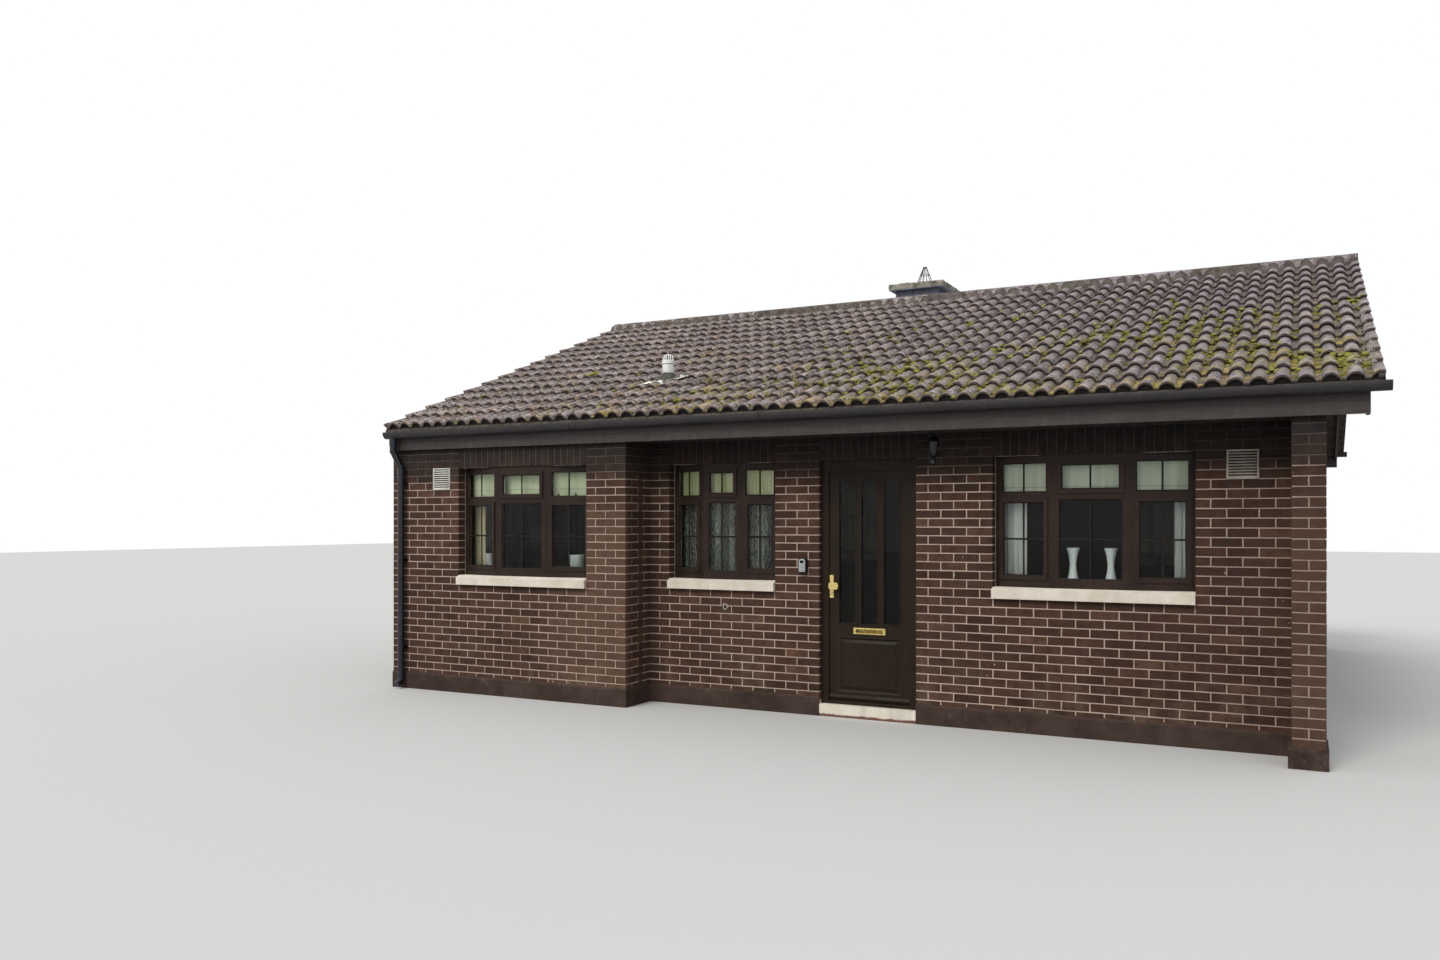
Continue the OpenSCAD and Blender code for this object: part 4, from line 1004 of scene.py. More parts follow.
def ridge_caps(count=20):
    """Half-round ridge tiles, each a shell turned about the ridge line, with a little lift and tilt, and a
    joint of 9 mm between them in which the bedding shows."""
    length = (VERGE_X - LEFT_X) / count
    a = np.radians(np.linspace(-12, 192, 19))
    m, total = len(a), 6 * len(a)
    c, r5 = np.arange(m - 1), np.arange(5) * m
    end = np.stack([c, c + 1, c + 1 + total, c + total], -1)
    side = np.stack([r5, r5 + m, r5 + m + total, r5 + total], -1)[:, ::-1]
    faces = np.concatenate([grid_faces(6, m)[:, ::-1], grid_faces(6, m) + total, end, (end + 5 * m)[:, ::-1],
                            side, side[:, ::-1] + m - 1])
    soft = np.array([4.0, 0.0, 0.0, 0.0, 0.0, 4.0])
    parts, tones = [], []
    for k in range(count):
        lift, tilt, turn = rng.normal(-1.2, 1.4), rng.normal(0, 2.6), rng.normal(0, 2.0)
        x = (LEFT_X + length * k
             + np.array([1.0, 5.0, 0.3 * length, 0.7 * length, length - 14.0, length - 9.0]))
        outer = 127.0 + lift - soft[:, None] + 0.9 * np.sin(3 * a)[None] + rng.normal(0, 0.8, (6, m))
        dz, dy = tilt * (x - x.mean()) / length, turn * (x - x.mean()) / length
        parts.append((np.concatenate([np.stack([
            np.repeat(x[:, None], m, 1), RIDGE_Y + dy[:, None] - r * np.cos(a)[None],
            RIDGE_Z + dz[:, None] + r * np.sin(a)[None]], -1).reshape(-1, 3)
            for r in (outer, np.full_like(outer, 112.0))]), faces))
        tones.append(np.full(2 * total, np.clip(rng.normal(0.42, 0.22), 0, 1)))
    points, faces = joined(parts)
    # pan 0.25 gives the ridge caps a quarter of the pans' tint of dirt and painted shade
    piece("ridge_caps", points, faces, "ridge_tile", "concrete_tile", sharp=40, tone=np.concatenate(tones),
          pan=np.full(len(points), 0.25), nose=np.zeros(len(points)))


ridge_caps()


def sheet(gx, gs, top, low):
    """A sheet on the slope between the heights top and low, over the grid of places gx, gs."""
    return np.concatenate([on_slope(gx, gs, n).reshape(-1, 3) for n in (top, low)]), sheet_faces(*gx.shape)


def ridge_bedding(r_low=132.0, r_high=176.0):
    """Mortar bedding under the ridge tiles' two edges: a rough fillet whose foot lies on the tiles and whose
    top meets the cap, worked out along the ridge at every 30 mm."""
    draw = np.random.default_rng(8)
    x = np.arange(LEFT_X + 4, VERGE_X - 2, 30.0)
    s = np.array([SLOPE - r_high, SLOPE - r_low - 22.0, SLOPE - r_low, SLOPE - r_low + 40.0])
    for _ in range(2):
        gx, gs = np.meshgrid(x, s, indexing="ij")
        gs = gs + draw.normal(0, 5.0, gs.shape)
        n = tile_top(gx, gs) + np.array([-4.0, 10.0, 24.0, 30.0]) + draw.normal(0, 3.0, gs.shape)
        yield sheet(gx, gs, n, np.full_like(n, 1.0))


def verge_bedding():
    """Mortar under the tile edges along the open verge: a strip 34 mm wide whose top follows the underside
    of the cut tiles and whose outer face wanders by a few millimetres."""
    draw = np.random.default_rng(9)
    for _ in range(2):
        gs, gx = np.meshgrid(np.arange(2.0, SLOPE - 16, 26.0),
                             [VERGE_X - 44.0, VERGE_X - 14.0, VERGE_X - 7.0], indexing="ij")
        gx = gx + draw.normal(0, 1.8, gx.shape)
        n = np.maximum(tile_top(gx, gs) - TILE_THICK * 0.72 + draw.normal(0, 1.5, gx.shape), 4.0)
        points, faces = sheet(gx, gs, n, np.full_like(n, 0.8))
        yield points, faces[:, ::-1]


for name, (front, behind) in (("ridge_bedding", ridge_bedding()), ("verge_bedding", verge_bedding())):
    piece(name, *joined([front, across(*behind)]), "ridge_mortar", **TILE)

VENT = np.array([-200.0, 700.0])
VENT_Z = EAVES_Z + (VENT[1] - EAVES_Y) * math.tan(PITCH)


def vent_flashing():
    """Lead sheet dressed over the rolls round the vent pipe: a grid that follows the tile wave 5 mm above
    it. Its front edge runs aslant and its right edge leans outwards up the slope; the front left corner
    bridges the pans in small ruffles, and it and the right edge are bare. Round the pipe it rises a
    little."""
    u, v = np.meshgrid(np.linspace(0, 1, 64), np.linspace(0, 1, 36), indexing="ij")
    start = 1084.0 + 79.0 * np.clip((u - 0.25) / 0.75, 0, 1)
    gs = start + v * (1500.0 - start)
    gx = -347.0 + u * (260.0 + np.clip(0.48 * (gs - 1163.0), 0, 120))
    n = tile_top(gx, gs) + 5.0 + 3.0 * np.sin(gx / 23.0) * np.sin(gs / 31.0)
    side = np.clip(1 - (1 - u) * 330 / 40, 0, 1) * (gs < 1420)
    front = np.clip((1250.0 - gs) / 50, 0, 1) * np.clip((-150.0 - gx) / 40, 0, 1)
    ruffle = 5.0 * np.sin(gx / 11.0 + 2 * np.sin(gs / 19.0))
    n = np.maximum(n, (58.0 + ruffle) * front)
    n = (np.maximum(n + 6.0 * side, 52.0 * np.clip(2.2 * side, 0, 1))
         + 8.0 * np.clip(1 - v * 400 / 24, 0, 1) ** 2)
    centre = (VENT[1] - EAVES_Y) / math.cos(PITCH)
    d = np.hypot(gx - VENT[0], (gs - centre) * math.cos(PITCH))
    n = np.maximum(n, 52.0 - 0.9 * np.clip(d - 84, 0, 200))
    tone = np.maximum(np.maximum(side > 0.05, np.clip(2.0 * front, 0, 1)), (v < 0.05) * 1.0)
    piece("vent_flashing", *sheet(gx, gs, n, n - 3.0), "lead_flashing", "vent_cowl", smooth=True,
          tone=np.tile(tone.ravel(), 2))


vent_flashing()


def vent_cowl():
    """Round cowl of the roof vent: a straight barrel with a seam and a domed top. In the dome the radius
    dips by 10 mm in fourteen upright slots, and the attribute tone is nought in them, for painted shade that
    makes them black; in the seam it is 0.4, for painted shade there too."""
    profile = [(0, 96), (46, 96), (60, 98), (62, 102), (62, 182), (58.0, 184), (58.0, 193), (62.4, 195),
               (62.4, 228),
               (61.5, 234), (60.5, 246), (56, 264), (48, 278), (42, 284), (28, 290), (14, 293), (0, 294)]
    points, faces = revolve((*VENT, VENT_Z), profile, 112)
    r, row = np.repeat([p[0] for p in profile], 112), np.repeat(np.arange(len(profile)), 112)
    slot = (np.sin(14 * np.tile(circle(112), len(profile))) > 0.0) & (row >= 9) & (row <= 12)
    points[:, :2] = VENT + (points[:, :2] - VENT) * np.where(
        slot & (r > 0), (r - 10) / np.maximum(r, 1), 1)[:, None]
    cowl = piece("vent_cowl", points, faces, "cowl_white", "vent_cowl", sharp=32,
                 tone=1.0 - np.maximum(slot, 0.6 * ((row == 5) | (row == 6))))
    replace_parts(cowl, "roof_vent")
    collar = [(0, -40), (100, -40), (98, 4), (74, 64), (61, 92), (58, 106), (0, 106)]
    piece("vent_collar", *revolve((*VENT, VENT_Z), collar, 40), "collar_dark", "vent_cowl", sharp=40)


vent_cowl()


def pale_lump():
    """A lump of pale mortar on the ridge: a flattened dome whose edge wanders, r = 52 (1 + 0.18 sin(3a + 1)
    + 0.1 sin 5a)."""
    a = circle(22)
    uneven = 1 + 0.18 * np.sin(3 * a + 1) + 0.1 * np.sin(5 * a)
    points = []
    for share, lift in ((1.0, 125.0), (0.96, 127.5), (0.7, 130.0), (0.35, 131.5), (0.0, 132.0)):
        x = LUMP_X + 52 * share * uneven * np.cos(a)
        around = math.radians(90) - (0.42 + 0.36 * share * uneven * np.sin(a))
        points.append(np.column_stack([x, RIDGE_Y - lift * np.cos(around), RIDGE_Z + lift * np.sin(around)]))
    piece("pale_lump", np.concatenate(points),
          [grid_faces(5, 22, closed=True)[:, ::-1], np.arange(22)[None]],
          "pale_sealant", **TILE)


pale_lump()

# ---------------------------------------------------------------- windows
# each window's span, share of a side light, brick face, and whether it is mirrored to the rear
PLACES = {"left": (WINDOW_L, LARGE, BAY_Y, False), "middle": (WINDOW_M, SMALL, 0.0, False),
          "right": (WINDOW_R, LARGE, 0.0, False), "rear_left": (WINDOW_L, LARGE, BAY_Y, True),
          "rear_right": (WINDOW_R, LARGE, BAY_Y, True)}
CROSS_BAR_Z, BOARD_TOP, CLOTH_THICK = 1617.0, FRAME_Z + 29.0, 0.0012


def on_bow(points, run, place):
    """Points given along one flat frame of a window's bow (x from its left post, y behind its front, z above
    the ground), in front millimetres: turned by the bow's angle, whose tangent is 88 mm over the side
    light's width, and moved to that frame's post."""
    window, share, face_y, _ = place
    width = window[1] - window[0]
    side = share * width
    turn = (run - 1) * math.atan2(WINDOW_BOW, side)
    p = np.asarray(points, float)
    x = window[0] + (0.0, side, width - side)[run] + p[..., 0] * math.cos(turn) - p[..., 1] * math.sin(turn)
    y = (WINDOW_BACK - (0.0 if run == 0 else WINDOW_BOW)
         + p[..., 0] * math.sin(turn) + p[..., 1] * math.cos(turn))
    return np.stack([x, face_y + y, p[..., 2]], -1)


def widths(place):
    """Lengths of a window's flat frames: side light across the wall, side light along its own frame, and
    middle."""
    width = place[0][1] - place[0][0]
    side = place[1] * width
    return side, math.hypot(side, WINDOW_BOW), width - 2 * side


def lights(place):
    """The six lights of a window as x0, x1, z0, z1, run along their own flat frame, glass edge to glass
    edge."""
    _, long, middle = widths(place)
    h, tz, m = HEAD - FRAME_Z, TRANSOM - FRAME_Z, MEMBER / 2
    spans = ((EDGE, long - m), (m, middle - m), (m, long - EDGE))
    for z0, z1, opening in ((tz + 30, h - 62, (0, 1, 0)), (76, tz - 30, (1, 0, 1))):
        for run, (x0, x1) in enumerate(spans):
            rim = SASH_RIM * opening[run]
            yield x0 + rim, x1 - rim, FRAME_Z + z0 + rim, FRAME_Z + z1 - rim, run


def glazing_bars(name, place):
    """On every pane a thin upright bar in its middle, a bar across each tall light and a bead round it, all
    on the flat frame that the pane is in. The bead is a mitred strip 9 mm wide, sloping from the frame down
    to the glass, of four rings of four points: outer front, inner front, inner back and outer back."""
    parts = []
    for a, b, c, d, run in lights(place):
        mid = (a + b) / 2
        low, high = [(mid - 8, PANE_Y - 4.5, c + 6)], [(mid + 8, PANE_Y - 0.2, d - 6)]
        if d - c > 400:
            low.append((a + 6, PANE_Y - 4.0, CROSS_BAR_Z - 8))
            high.append((b - 6, PANE_Y - 0.2, CROSS_BAR_Z + 8))
        bead = np.array([[a + i, y, c + i, b - i, y, c + i, b - i, y, d - i, a + i, y, d - i]
                         for i, y in ((0.0, 1.5), (9.0, 7.6), (9.0, 9.6), (0.0, 9.6))]).reshape(-1, 3)
        for points, faces in (blocks(low, high, 1.4), (bead, grid_faces(5, 4, closed=True) % 16)):
            parts.append((on_bow(points, run, place), faces))
    piece(name, *joined(parts), "bar_dark", "frame_brown", rear=place[3])


def window_edges(name, place):
    """Pale sealant up both ends of a window and a thin bead of old mortar under the head, where the frame
    stands back from the brick face: its lower edge wanders, and it dies out towards the middle light."""
    (left, right), side = place[0], widths(place)[0]
    parts = [blocks([(x, WINDOW_BACK - 6.0, FRAME_Z + 1)], [(x + 6.0, WINDOW_BACK - 0.2, HEAD - 1)], 1.5)
             for x in (left + 1.0, right - 7.0)]
    for x0, x1 in ((left + 3, left + 0.86 * side), (right - 0.86 * side, right - 3)):
        x = np.linspace(x0, x1, 40)
        drop = (4.5 + rng.normal(0, 0.7, 40)) * np.clip(np.minimum(x - x0, x1 - x) / 60, 0.1, 1)
        y, top = 5.0 + rng.normal(0, 0.6, 40), HEAD - 0.5
        parts.append(carried(x, [(y, top), (y, top - drop), (y + 9, top - drop), (y + 9, top)]))
    points, faces = joined(parts)
    piece(name, points + (0.0, place[2], 0.0), faces, "pale_sealant", "cast_sill", rear=place[3])


def window_board(name, place):
    """Board inside a window: its outer edge follows the back of the bow, its inner edge stands 24 mm out of
    the plaster and is rounded; 28 mm thick, on the back of the sill."""
    window, share, face_y, rear = place
    x = window[0] + 2 + (window[1] - window[0] - 4) * np.linspace(0, 1, 41)
    front, back = face_y + (bow_front(window, share, x) + 73.0), face_y + 324.0
    top, low = BOARD_TOP, FRAME_Z + 1.0
    ring = [(front, low), (front, top), (back - 8, top), (back - 2, top - 4), (back, top - 14),
            (back - 2, low + 4), (back - 8, low)]
    piece(name, *carried(x, ring, turned_round=True), "painted_wood", "plaster", rear=rear)


def hanging_cloth(name, place, run, x0, x1, y, z0, z1, finish, ripple, waves, notches=()):
    """Cloth hung behind one flat frame of a window: y = ripple sin(waves turns of x), fading out at the top
    rail; its foot is straight, with small pointed notches cut up into it. The sheet is 1.2 mm thick."""
    gu, gv = np.meshgrid(np.linspace(0, 1, 121), np.linspace(0, 1, 13), indexing="ij")
    x = x0 + (x1 - x0) * gu
    foot = np.full(gu.shape, float(z0))
    for at in notches:
        foot = foot + 46.0 * np.clip(1 - np.abs(x - at) / 26.0, 0, 1)
    depth = ripple * np.sin(2 * math.pi * waves * gu + 0.6 * np.sin(9 * gu)) * (0.35 + 0.65 * gv)
    points = on_bow(np.stack([x, y + depth, z1 + (foot - z1) * gv], -1), run, place)
    obj = piece(name, points, grid_faces(121, 13), finish, "plaster", smooth=True, rear=place[3])
    thick = obj.modifiers.new("thickness", "SOLIDIFY")
    thick.thickness, thick.offset = CLOTH_THICK, 0.0
    dx = np.hypot(np.diff(x[:, -1]), np.diff(depth[:, -1])).sum()


for key, place in PLACES.items():
    glazing_bars("bars_" + key, place)
    window_edges("sealant_" + key, place)
    window_board("window_board_" + key, place)

# blinds: for each window the foot, the finish, the ripples and, for each flat frame, where the notches are
NO_NOTCHES = ((), (), ())
for key, foot, finish, ripple, waves, notches in (
        ("left", 1996.0, "blind_cloth", 0.8, 2, ((205.0,), (302.0,), (95.0, 284.0))),
        ("middle", 1990.0, "pleated_cloth", 3.5, 9, NO_NOTCHES),
        ("right", 1992.0, "blind_pale", 0.8, 2, NO_NOTCHES),
        ("rear_left", 1246.0, "blind_cloth", 0.8, 2, NO_NOTCHES),
        ("rear_right", 1246.0, "blind_cloth", 0.8, 2, NO_NOTCHES)):
    _, long, middle = widths(PLACES[key])
    for run, (x0, x1) in enumerate(((26, long - 20), (8, middle - 8), (20, long - 26))):
        hanging_cloth("blind_%s_%d" % (key, run + 1), PLACES[key], run, x0, x1, 92.0, foot, 2306.0, finish,
                      ripple, waves, notches[run])
for name, key, run, *rest in (
        ("net_middle_1", "middle", 0, 24, 360, 118.0, 1244.0, 2296.0, "net_cloth", 7.0, 8),
        ("net_middle_2", "middle", 1, 6, 390, 118.0, 1244.0, 2296.0, "net_cloth", 7.0, 9),
        ("net_middle_3", "middle", 2, 14, 345, 118.0, 1244.0, 2296.0, "net_cloth", 7.0, 8),
        ("curtain_left_1", "left", 0, 30, 190, 116.0, 1250.0, 2300.0, "curtain_cloth", 9, 3),
        ("curtain_right_1", "right", 0, 40, 235, 118.0, 1246.0, 2300.0, "curtain_pale", 9, 4),
        ("curtain_right_3", "right", 2, 345, 452, 118.0, 1246.0, 2300.0, "curtain_pale", 9, 2)):
    hanging_cloth(name, PLACES[key], run, *rest)

# ornaments on the window boards, as (radius, height) rows
VASE = [(0.0, 0.0)] + [(26 + 31 * abs(2 * w - 1.06) ** 1.7, 302 * w) for w in np.linspace(0, 1, 15)] + [
    (51, 303), (46, 297), (24, 160), (0, 150)]
POT = [(0, 0), (33, 0), (36, 3), (44, 148), (46, 150), (46, 158), (42, 158), (40, 150), (32, 20), (0, 18)]
WIDE_POT = [(0, 0), (62, 0), (66, 4), (80, 146), (83, 150), (83, 160), (78, 160), (75, 150), (60, 20),
            (0, 18)]
SAUCERS = [[(0, 0), (38, 0), (40, 4), (40, 29), (0, 29)], [(0, 0), (68, 0), (70, 4), (70, 27), (0, 27)]]
POTS_AT = ((-1772.0, BAY_Y + 190.0), (-714.0, BAY_Y + 222.0))
for name, rows in (("vases_right", [(4001.0, 166.0, 0, VASE), (4302.0, 166.0, 0, VASE)]),
                   ("pots_left", [(*POTS_AT[0], 30, POT), (*POTS_AT[1], 28, WIDE_POT)]),
                   ("pot_saucers_left", [(*POTS_AT[0], 0, SAUCERS[0]), (*POTS_AT[1], 0, SAUCERS[1])])):
    piece(name, *joined([revolve((x, y, BOARD_TOP + 0.2 + z), profile, 28) for x, y, z, profile in rows]),
          "white_glaze", "plaster", sharp=50)

# ---------------------------------------------------------------- door
LIGHT_W, LIGHT_GAP = 148.0, 64.0
LIGHTS_WIDE = 3 * LIGHT_W + 2 * LIGHT_GAP
light_0 = (LEAF[0] + LEAF[1] - LIGHTS_WIDE) / 2
low = [(light_0 + k * (LIGHT_W + LIGHT_GAP), 75.0, z - 6) for k in range(3) for z in (1494, 1806)]
high = [(x + LIGHT_W, 79.0, z + 12) for x, _, z in low]
piece("door_bars", *blocks(low, high, 1.0), "bar_dark", "door_brown", "door")


def rounded(x0, x1, z0, z1, radius, top=None):
    """Outline of a rectangle with rounded corners, anticlockwise seen from the front; the two top corners
    may have their own radius."""
    top = radius if top is None else top
    a = np.linspace(0, math.pi / 2, 6)
    corners = [(x1 - radius, z0 + radius, radius, -math.pi / 2), (x1 - top, z1 - top, top, 0.0),
               (x0 + top, z1 - top, top, math.pi / 2), (x0 + radius, z0 + radius, radius, math.pi)]
    return np.concatenate([np.column_stack([cx + r * np.cos(a + b), cz + r * np.sin(a + b)])
                           for cx, cz, r, b in corners])


def flat_on(outline, y_front, y_back, soft):
    """A flat plate from an outline of (x, z) points seen from the front: rings at the back, at the shoulder
    and, drawn in by the soft edge, at the front; both ends are closed."""
    inward = outline.mean(0) - outline
    inward /= np.linalg.norm(inward, axis=1)[:, None]
    return skin([np.column_stack([o[:, 0], np.full(len(o), y), o[:, 1]]) for o, y in (
        (outline, y_back), (outline, y_front + soft), (outline + soft * inward, y_front))])


def faced(name, outlines, depths, finish, slot, body="house", sharp=None):
    """Flat plates with rounded corners: each outline as rounded takes it, and depths as flat_on takes
    them."""
    return piece(name, *joined([flat_on(rounded(*o), *depths) for o in outlines]), finish, slot, body,
                 sharp=sharp)


def panel_moulding():
    """Moulding round the sunk panel of the door: one section of eight points, proud of the leaf by 5 mm and
    sloping down to the panel's floor, carried round the four mitred corners."""
    x0, x1, z0, z1 = light_0 - 6, light_0 + LIGHTS_WIDE + 6, 225, 715
    inset, y = np.array([(-8, -0.3), (-7, -4), (-1, -5), (6, 0), (12, 6), (14, 8.7), (0.3, 8.7),
                         (0.3, -0.3)]).T
    x = np.stack([x0 + inset, x1 - inset, x1 - inset, x0 + inset])
    z = np.stack([z0 + inset, z0 + inset, z1 - inset, z1 - inset])
    points = np.stack([x, np.tile(DOOR_Y + y, (4, 1)), z], -1)
    piece("panel_moulding", points, grid_faces(5, 8, closed=True)[:, ::-1] % 32, "frame_brown",
          "frame_brown", "door")


def weather_bar():
    """Rain bar across the foot of the door: a profile that swells out 13 mm and drips, carried along the
    leaf."""
    z0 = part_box("front_door")[0][2] * 1000 + 14
    ring = [(DOOR_Y + y, z0 + z) for y, z in (
        (-0.3, 0), (-10, 0), (-13, 5), (-13, 9), (-9, 20), (-4, 30), (-0.3, 33))]
    piece("weather_bar", *carried(np.linspace(LEAF[0] + 12, LEAF[1] - 12, 30), ring, turned_round=True),
          "door_brown", "door_brown", "door")


panel_moulding()
PLATE_Z, PLATE_X, LOCK_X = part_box("letterbox")[0][2] * 1000, (LEAF[0] + LEAF[1]) / 2, LEAF[0] + 30
# painted shade: the flap uses a darker copy of the brass
faced("letter_plate_flap", [(PLATE_X - 126, PLATE_X + 126, PLATE_Z + 11, PLATE_Z + 45, 6)],
      (DOOR_Y - 9.6, DOOR_Y - 8.7, 0.3), "brass_dull", "brass", "door")
# painted shade: a dark plate stands in for the hole at the flap's left end
faced("letter_plate_hole", [(PLATE_X - 121, PLATE_X - 104, PLATE_Z + 17, PLATE_Z + 37, 7)],
      (DOOR_Y - 9.9, DOOR_Y - 8.6, 0.3), "dark_gap", "lantern_black", "door")
faced("key_cylinder", [(LOCK_X - 8, LOCK_X + 8, 1092, 1122, 7.5)], (DOOR_Y - 12.5, DOOR_Y - 8.2, 1.0),
      "brass", "brass", "door")
# painted shade: a dark plate stands in for the keyway
faced("key_slot", [(LOCK_X - 1.2, LOCK_X + 1.2, 1098, 1114, 1.1)], (DOOR_Y - 12.9, DOOR_Y - 12.3, 0.2),
      "dark_gap", "lantern_black", "door")
weather_bar()

# ---------------------------------------------------------------- fittings on the wall
LOUVRE, SLATS, RIM = 225.0, 9, 12


def louvre(node, x0, face_y, finish):
    """Louvred wall vent: a square rim of four strips and nine thin slats that slope down and outwards, and
    behind them a dark plate of painted shade for the shaded hollow; all in front of the brick face."""
    z0, x1, z1 = HEAD - LOUVRE, x0 + LOUVRE, HEAD
    parts = [blocks([(x0, -14, z0), (x0, -14, z1 - RIM), (x0, -14, z0 + RIM), (x1 - RIM, -14, z0 + RIM)],
                    [(x1, -0.3, z0 + RIM), (x1, -0.3, z1), (x0 + RIM, -0.3, z1 - RIM), (x1, -0.3, z1 - RIM)],
                    1.5)]
    ring = np.array([(-3.0, 9.5), (-12.5, 0.8), (-13.2, 3.4), (-3.0, 12.8)])
    z = z0 + RIM + (LOUVRE - 2 * RIM) / SLATS * np.arange(SLATS)
    points = np.empty((SLATS, 2, 4, 3))
    points[..., 0] = np.array([x0 + 11, x1 - 11])[None, :, None]
    points[..., 1], points[..., 2] = ring[:, 0], z[:, None, None] + ring[:, 1]
    parts.append((points.reshape(-1, 3), repeated(skin(points[0], turned_round=True)[1], SLATS, 8)))
    points, faces = joined(parts)
    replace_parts(piece(node + "_slats", points + (0, face_y, 0), faces, finish, finish), node)
    # painted shade: a near-black plate behind the slats stands in for the shade between them
    points, faces = blocks([(x0 + 11, -1.6, z0 + 11)], [(x1 - 11, -0.3, z1 - 11)], 0.3)
    piece(node + "_shade_plate", points + (0, face_y, 0), faces, "dark_gap", finish)


louvre("louvre_vent_left", -2364.5, BAY_Y, "louvre_white")
louvre("louvre_vent_right", 5175.0, 0.0, "louvre_beige")

KEY_X, KEY_Z = DOORWAY[0] - 150.0, 1297.0
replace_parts(faced("key_safe_case", [(KEY_X - 40, KEY_X + 40, KEY_Z - 5, KEY_Z + 133, 14, 26)],
                  (-49.0, -0.5, 5.0), "rubber_black", "safe_silver", sharp=50), "key_safe")
for name, outlines, depths, finish in (
        ("face", [(KEY_X - 31, KEY_X + 31, KEY_Z + 6, KEY_Z + 124, 8, 24)], (-54.0, -48.5, 2.5),
         "safe_silver"),
        ("window", [(KEY_X - 21, KEY_X + 21, KEY_Z + 84, KEY_Z + 112, 13)], (-54.8, -53.8, 0.5), "dark_gap"),
        ("buttons", [(KEY_X + dx - 6, KEY_X + dx + 6, KEY_Z + 14 + 12.5 * k, KEY_Z + 23 + 12.5 * k, 4)
                     for dx in (-17, 0, 17) for k in range(5)], (-56.0, -53.8, 1.0), "button_grey"),
        ("shelf", [(KEY_X - 27, KEY_X + 27, KEY_Z + 77, KEY_Z + 81, 1.5)], (-56.5, -53.8, 1.0),
         "safe_silver")):
    faced("key_safe_" + name, outlines, depths, finish, "safe_silver")

LAMP = (DOORWAY[1] + 157.0, -6.0, 2255.0)
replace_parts(faced("lantern_back", [(LAMP[0] - 38, LAMP[0] + 38, LAMP[2] + 4, LAMP[2] + 250, 8, 30)],
                  (-6.2, -0.5, 2.0), "lantern_black", "lantern_black"), "wall_lantern")
piece("lantern_body", *joined([half_turned(rows, LAMP) for rows in (
    [(8, 196), (50, 196), (56, 200), (52, 206), (34, 226), (20, 240), (12, 244), (12, 252), (6, 256)],
    [(6, 62), (30, 70), (40, 80), (40, 90), (36, 92)],
    [(14, 0), (24, 4), (26, 14), (26, 40), (20, 60), (10, 66)])]), "lantern_black", "lantern_black",
      sharp=35)
piece("lantern_glass", *half_turned([(32, 92), (40, 140), (46, 196)], LAMP, 7), "milk_glass", "window_glass")
piece("lantern_bars", *joined([
    tube([(LAMP[0] + r * math.cos(a), LAMP[1] + r * math.sin(a), LAMP[2] + z)
          for r, z in ((36.5, 88), (48.5, 198))],
         2.4, 6) for a in math.pi + math.pi * np.arange(7) / 6]), "lantern_black", "lantern_black",
      smooth=True)
points, faces = revolve((0, 0, 0), [(0, -9), (5, -8), (9, -4), (10, 0)], 16)
piece("lantern_eye", np.column_stack([LAMP[0] + points[:, 0], LAMP[1] - 23.0 + points[:, 2],
                                      LAMP[2] + 26 - points[:, 1]]),
      [faces, np.arange(48, 64)[None]], "button_grey", "lantern_black", smooth=True)


def round_hole():
    """End of an overflow pipe in the wall: a short tube in a ring of pale patching mortar, with a dark
    core; the tube is near black, as painted shade for the pipe's hollow."""
    a, (x, z) = circle(20), (836, 955)
    uneven = 1 + 0.16 * np.sin(3 * a + 0.7) + 0.09 * np.sin(7 * a)
    rings = [np.column_stack([x + r * np.cos(a), np.full(20, -out), z + r * np.sin(a)]) for r, out in (
        (34 * uneven, 0.5), (30 * uneven, 5.0), (17 * uneven, 5.4), (14, 9.0), (11, 9.0), (11, -30.0))]
    tube_faces = grid_faces(3, 20, closed=True)
    piece("overflow_patch", rings[:3], tube_faces, "pale_sealant", "cast_sill", smooth=True)
    # painted shade: the tube is near black for the shaded hollow of the pipe
    piece("overflow_end", rings[3:], [tube_faces, (40 + np.arange(20))[None]], "dark_gap", "pipe_black",
          smooth=True)


round_hole()


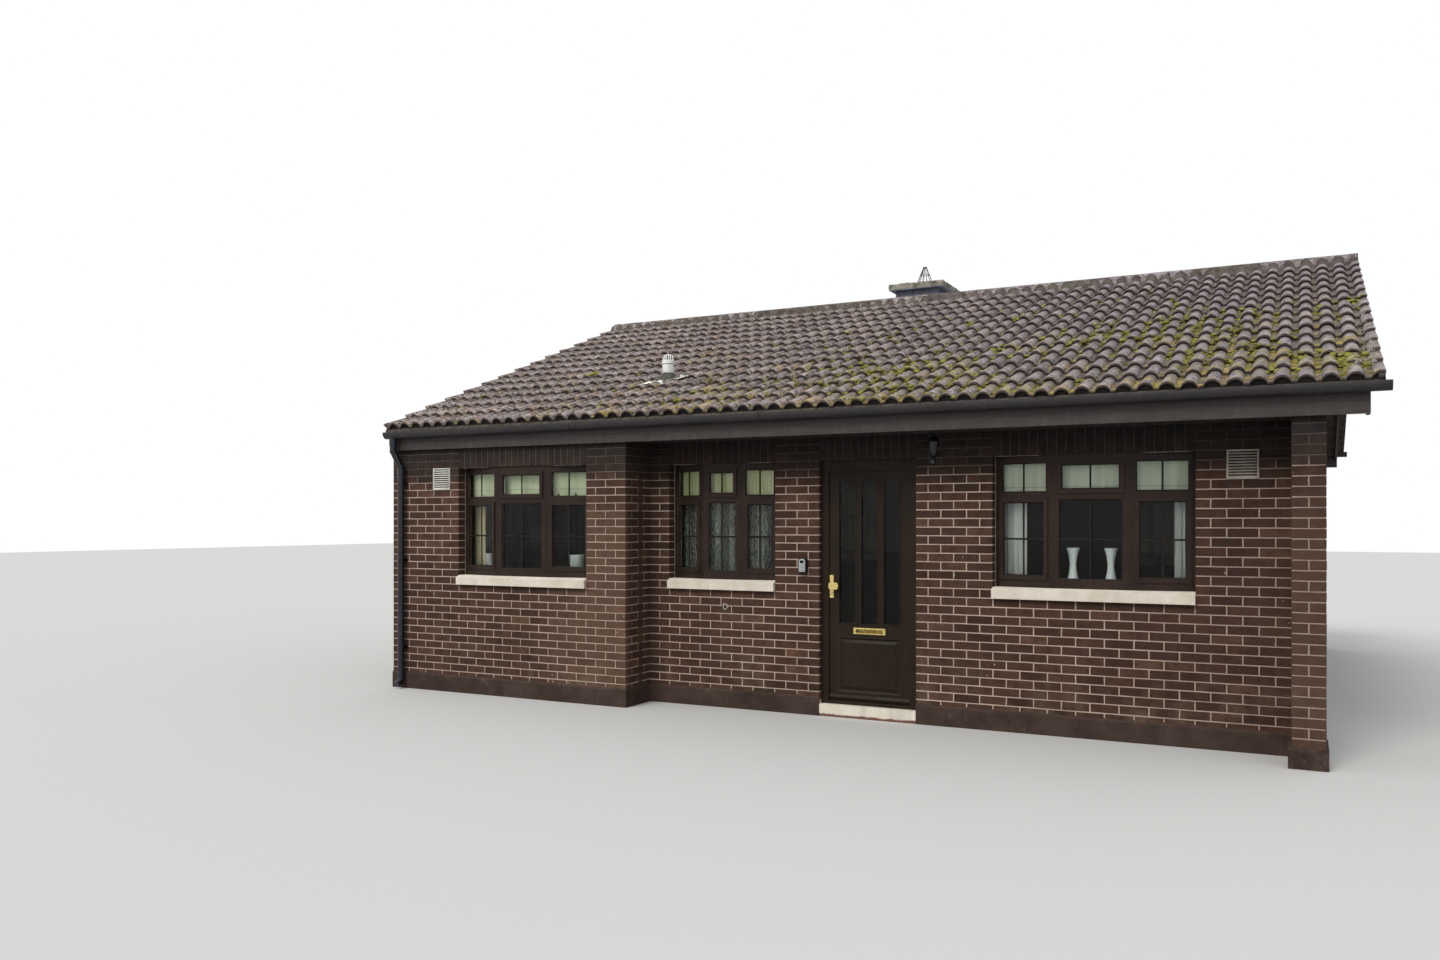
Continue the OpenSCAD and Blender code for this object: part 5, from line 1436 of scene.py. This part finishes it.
# ---------------------------------------------------------------- stage, light and camera
def seen_directly(tree):
    """One for camera, mirror and glass rays, nought for the rays that light the scene."""
    path, either = put(tree, "LightPath").outputs, None
    for ray in ("Is Glossy Ray", "Is Transmission Ray"):
        either = put(tree, "Math", {0: either or path["Is Camera Ray"], 1: path[ray]},
                     operation="MAXIMUM").outputs[0]
    return either


def placed(name, data, turn=(0, 0, 0), at=(0, 0, 0)):
    """A new object in the scene, turned by degrees."""
    obj = bpy.data.objects.new(name, data)
    obj.rotation_euler, obj.location = [math.radians(t) for t in turn], at
    bpy.context.scene.collection.objects.link(obj)
    return obj


def stage_and_light():
    """A pale floor under the house, an even white surround, a broad soft sun and a camera at the
    standpoint."""
    scene, size, below, photo_width, focal_pixels = bpy.context.scene, 60.0, -0.002, 1440, 1117.544
    mesh = bpy.data.meshes.new("floor")
    mesh.from_pydata([(x * size, y * size, below) for x, y in ((-1, -1), (1, -1), (1, 1), (-1, 1))], [],
                     [(0, 1, 2, 3)])
    f = Finish("pale_floor", 0.95, 0.0)
    f.colour = f.mix(seen_directly(f.tree), (120, 112, 104), (214, 213, 210))
    f.done()
    mesh.materials.append(FINISHES["pale_floor"])
    placed("floor", mesh)

    scene.world = bpy.data.worlds.new("surround")
    scene.world.use_nodes = True
    tree = scene.world.node_tree
    tree.nodes.clear()
    soft, white = (put(tree, "Background", {"Color": colour, "Strength": strength}).outputs[0]
                   for colour, strength in (((0.93, 0.96, 1.0, 1), 0.78), ((1, 1, 1, 1), 1.0)))
    both = put(tree, "MixShader", {0: seen_directly(tree), 1: soft, 2: white}).outputs[0]
    put(tree, "OutputWorld", {"Surface": both})

    sun = bpy.data.lights.new("soft_sun", "SUN")
    sun.energy, sun.angle, sun.color = 1.5, math.radians(24), (1.0, 0.97, 0.92)
    placed("soft_sun", sun, (48, 0, -12))
    camera = bpy.data.cameras.new("standpoint")
    camera.sensor_width, camera.lens = 36.0, focal_pixels / photo_width * 36.0
    camera.shift_y = 40.8 / photo_width
    scene.camera = placed("standpoint", camera, (90, 0, 27.55), (4.03925, -13.36142, 1.769))
    scene.view_settings.view_transform = "Standard"


stage_and_light()
bpy.context.view_layer.update()
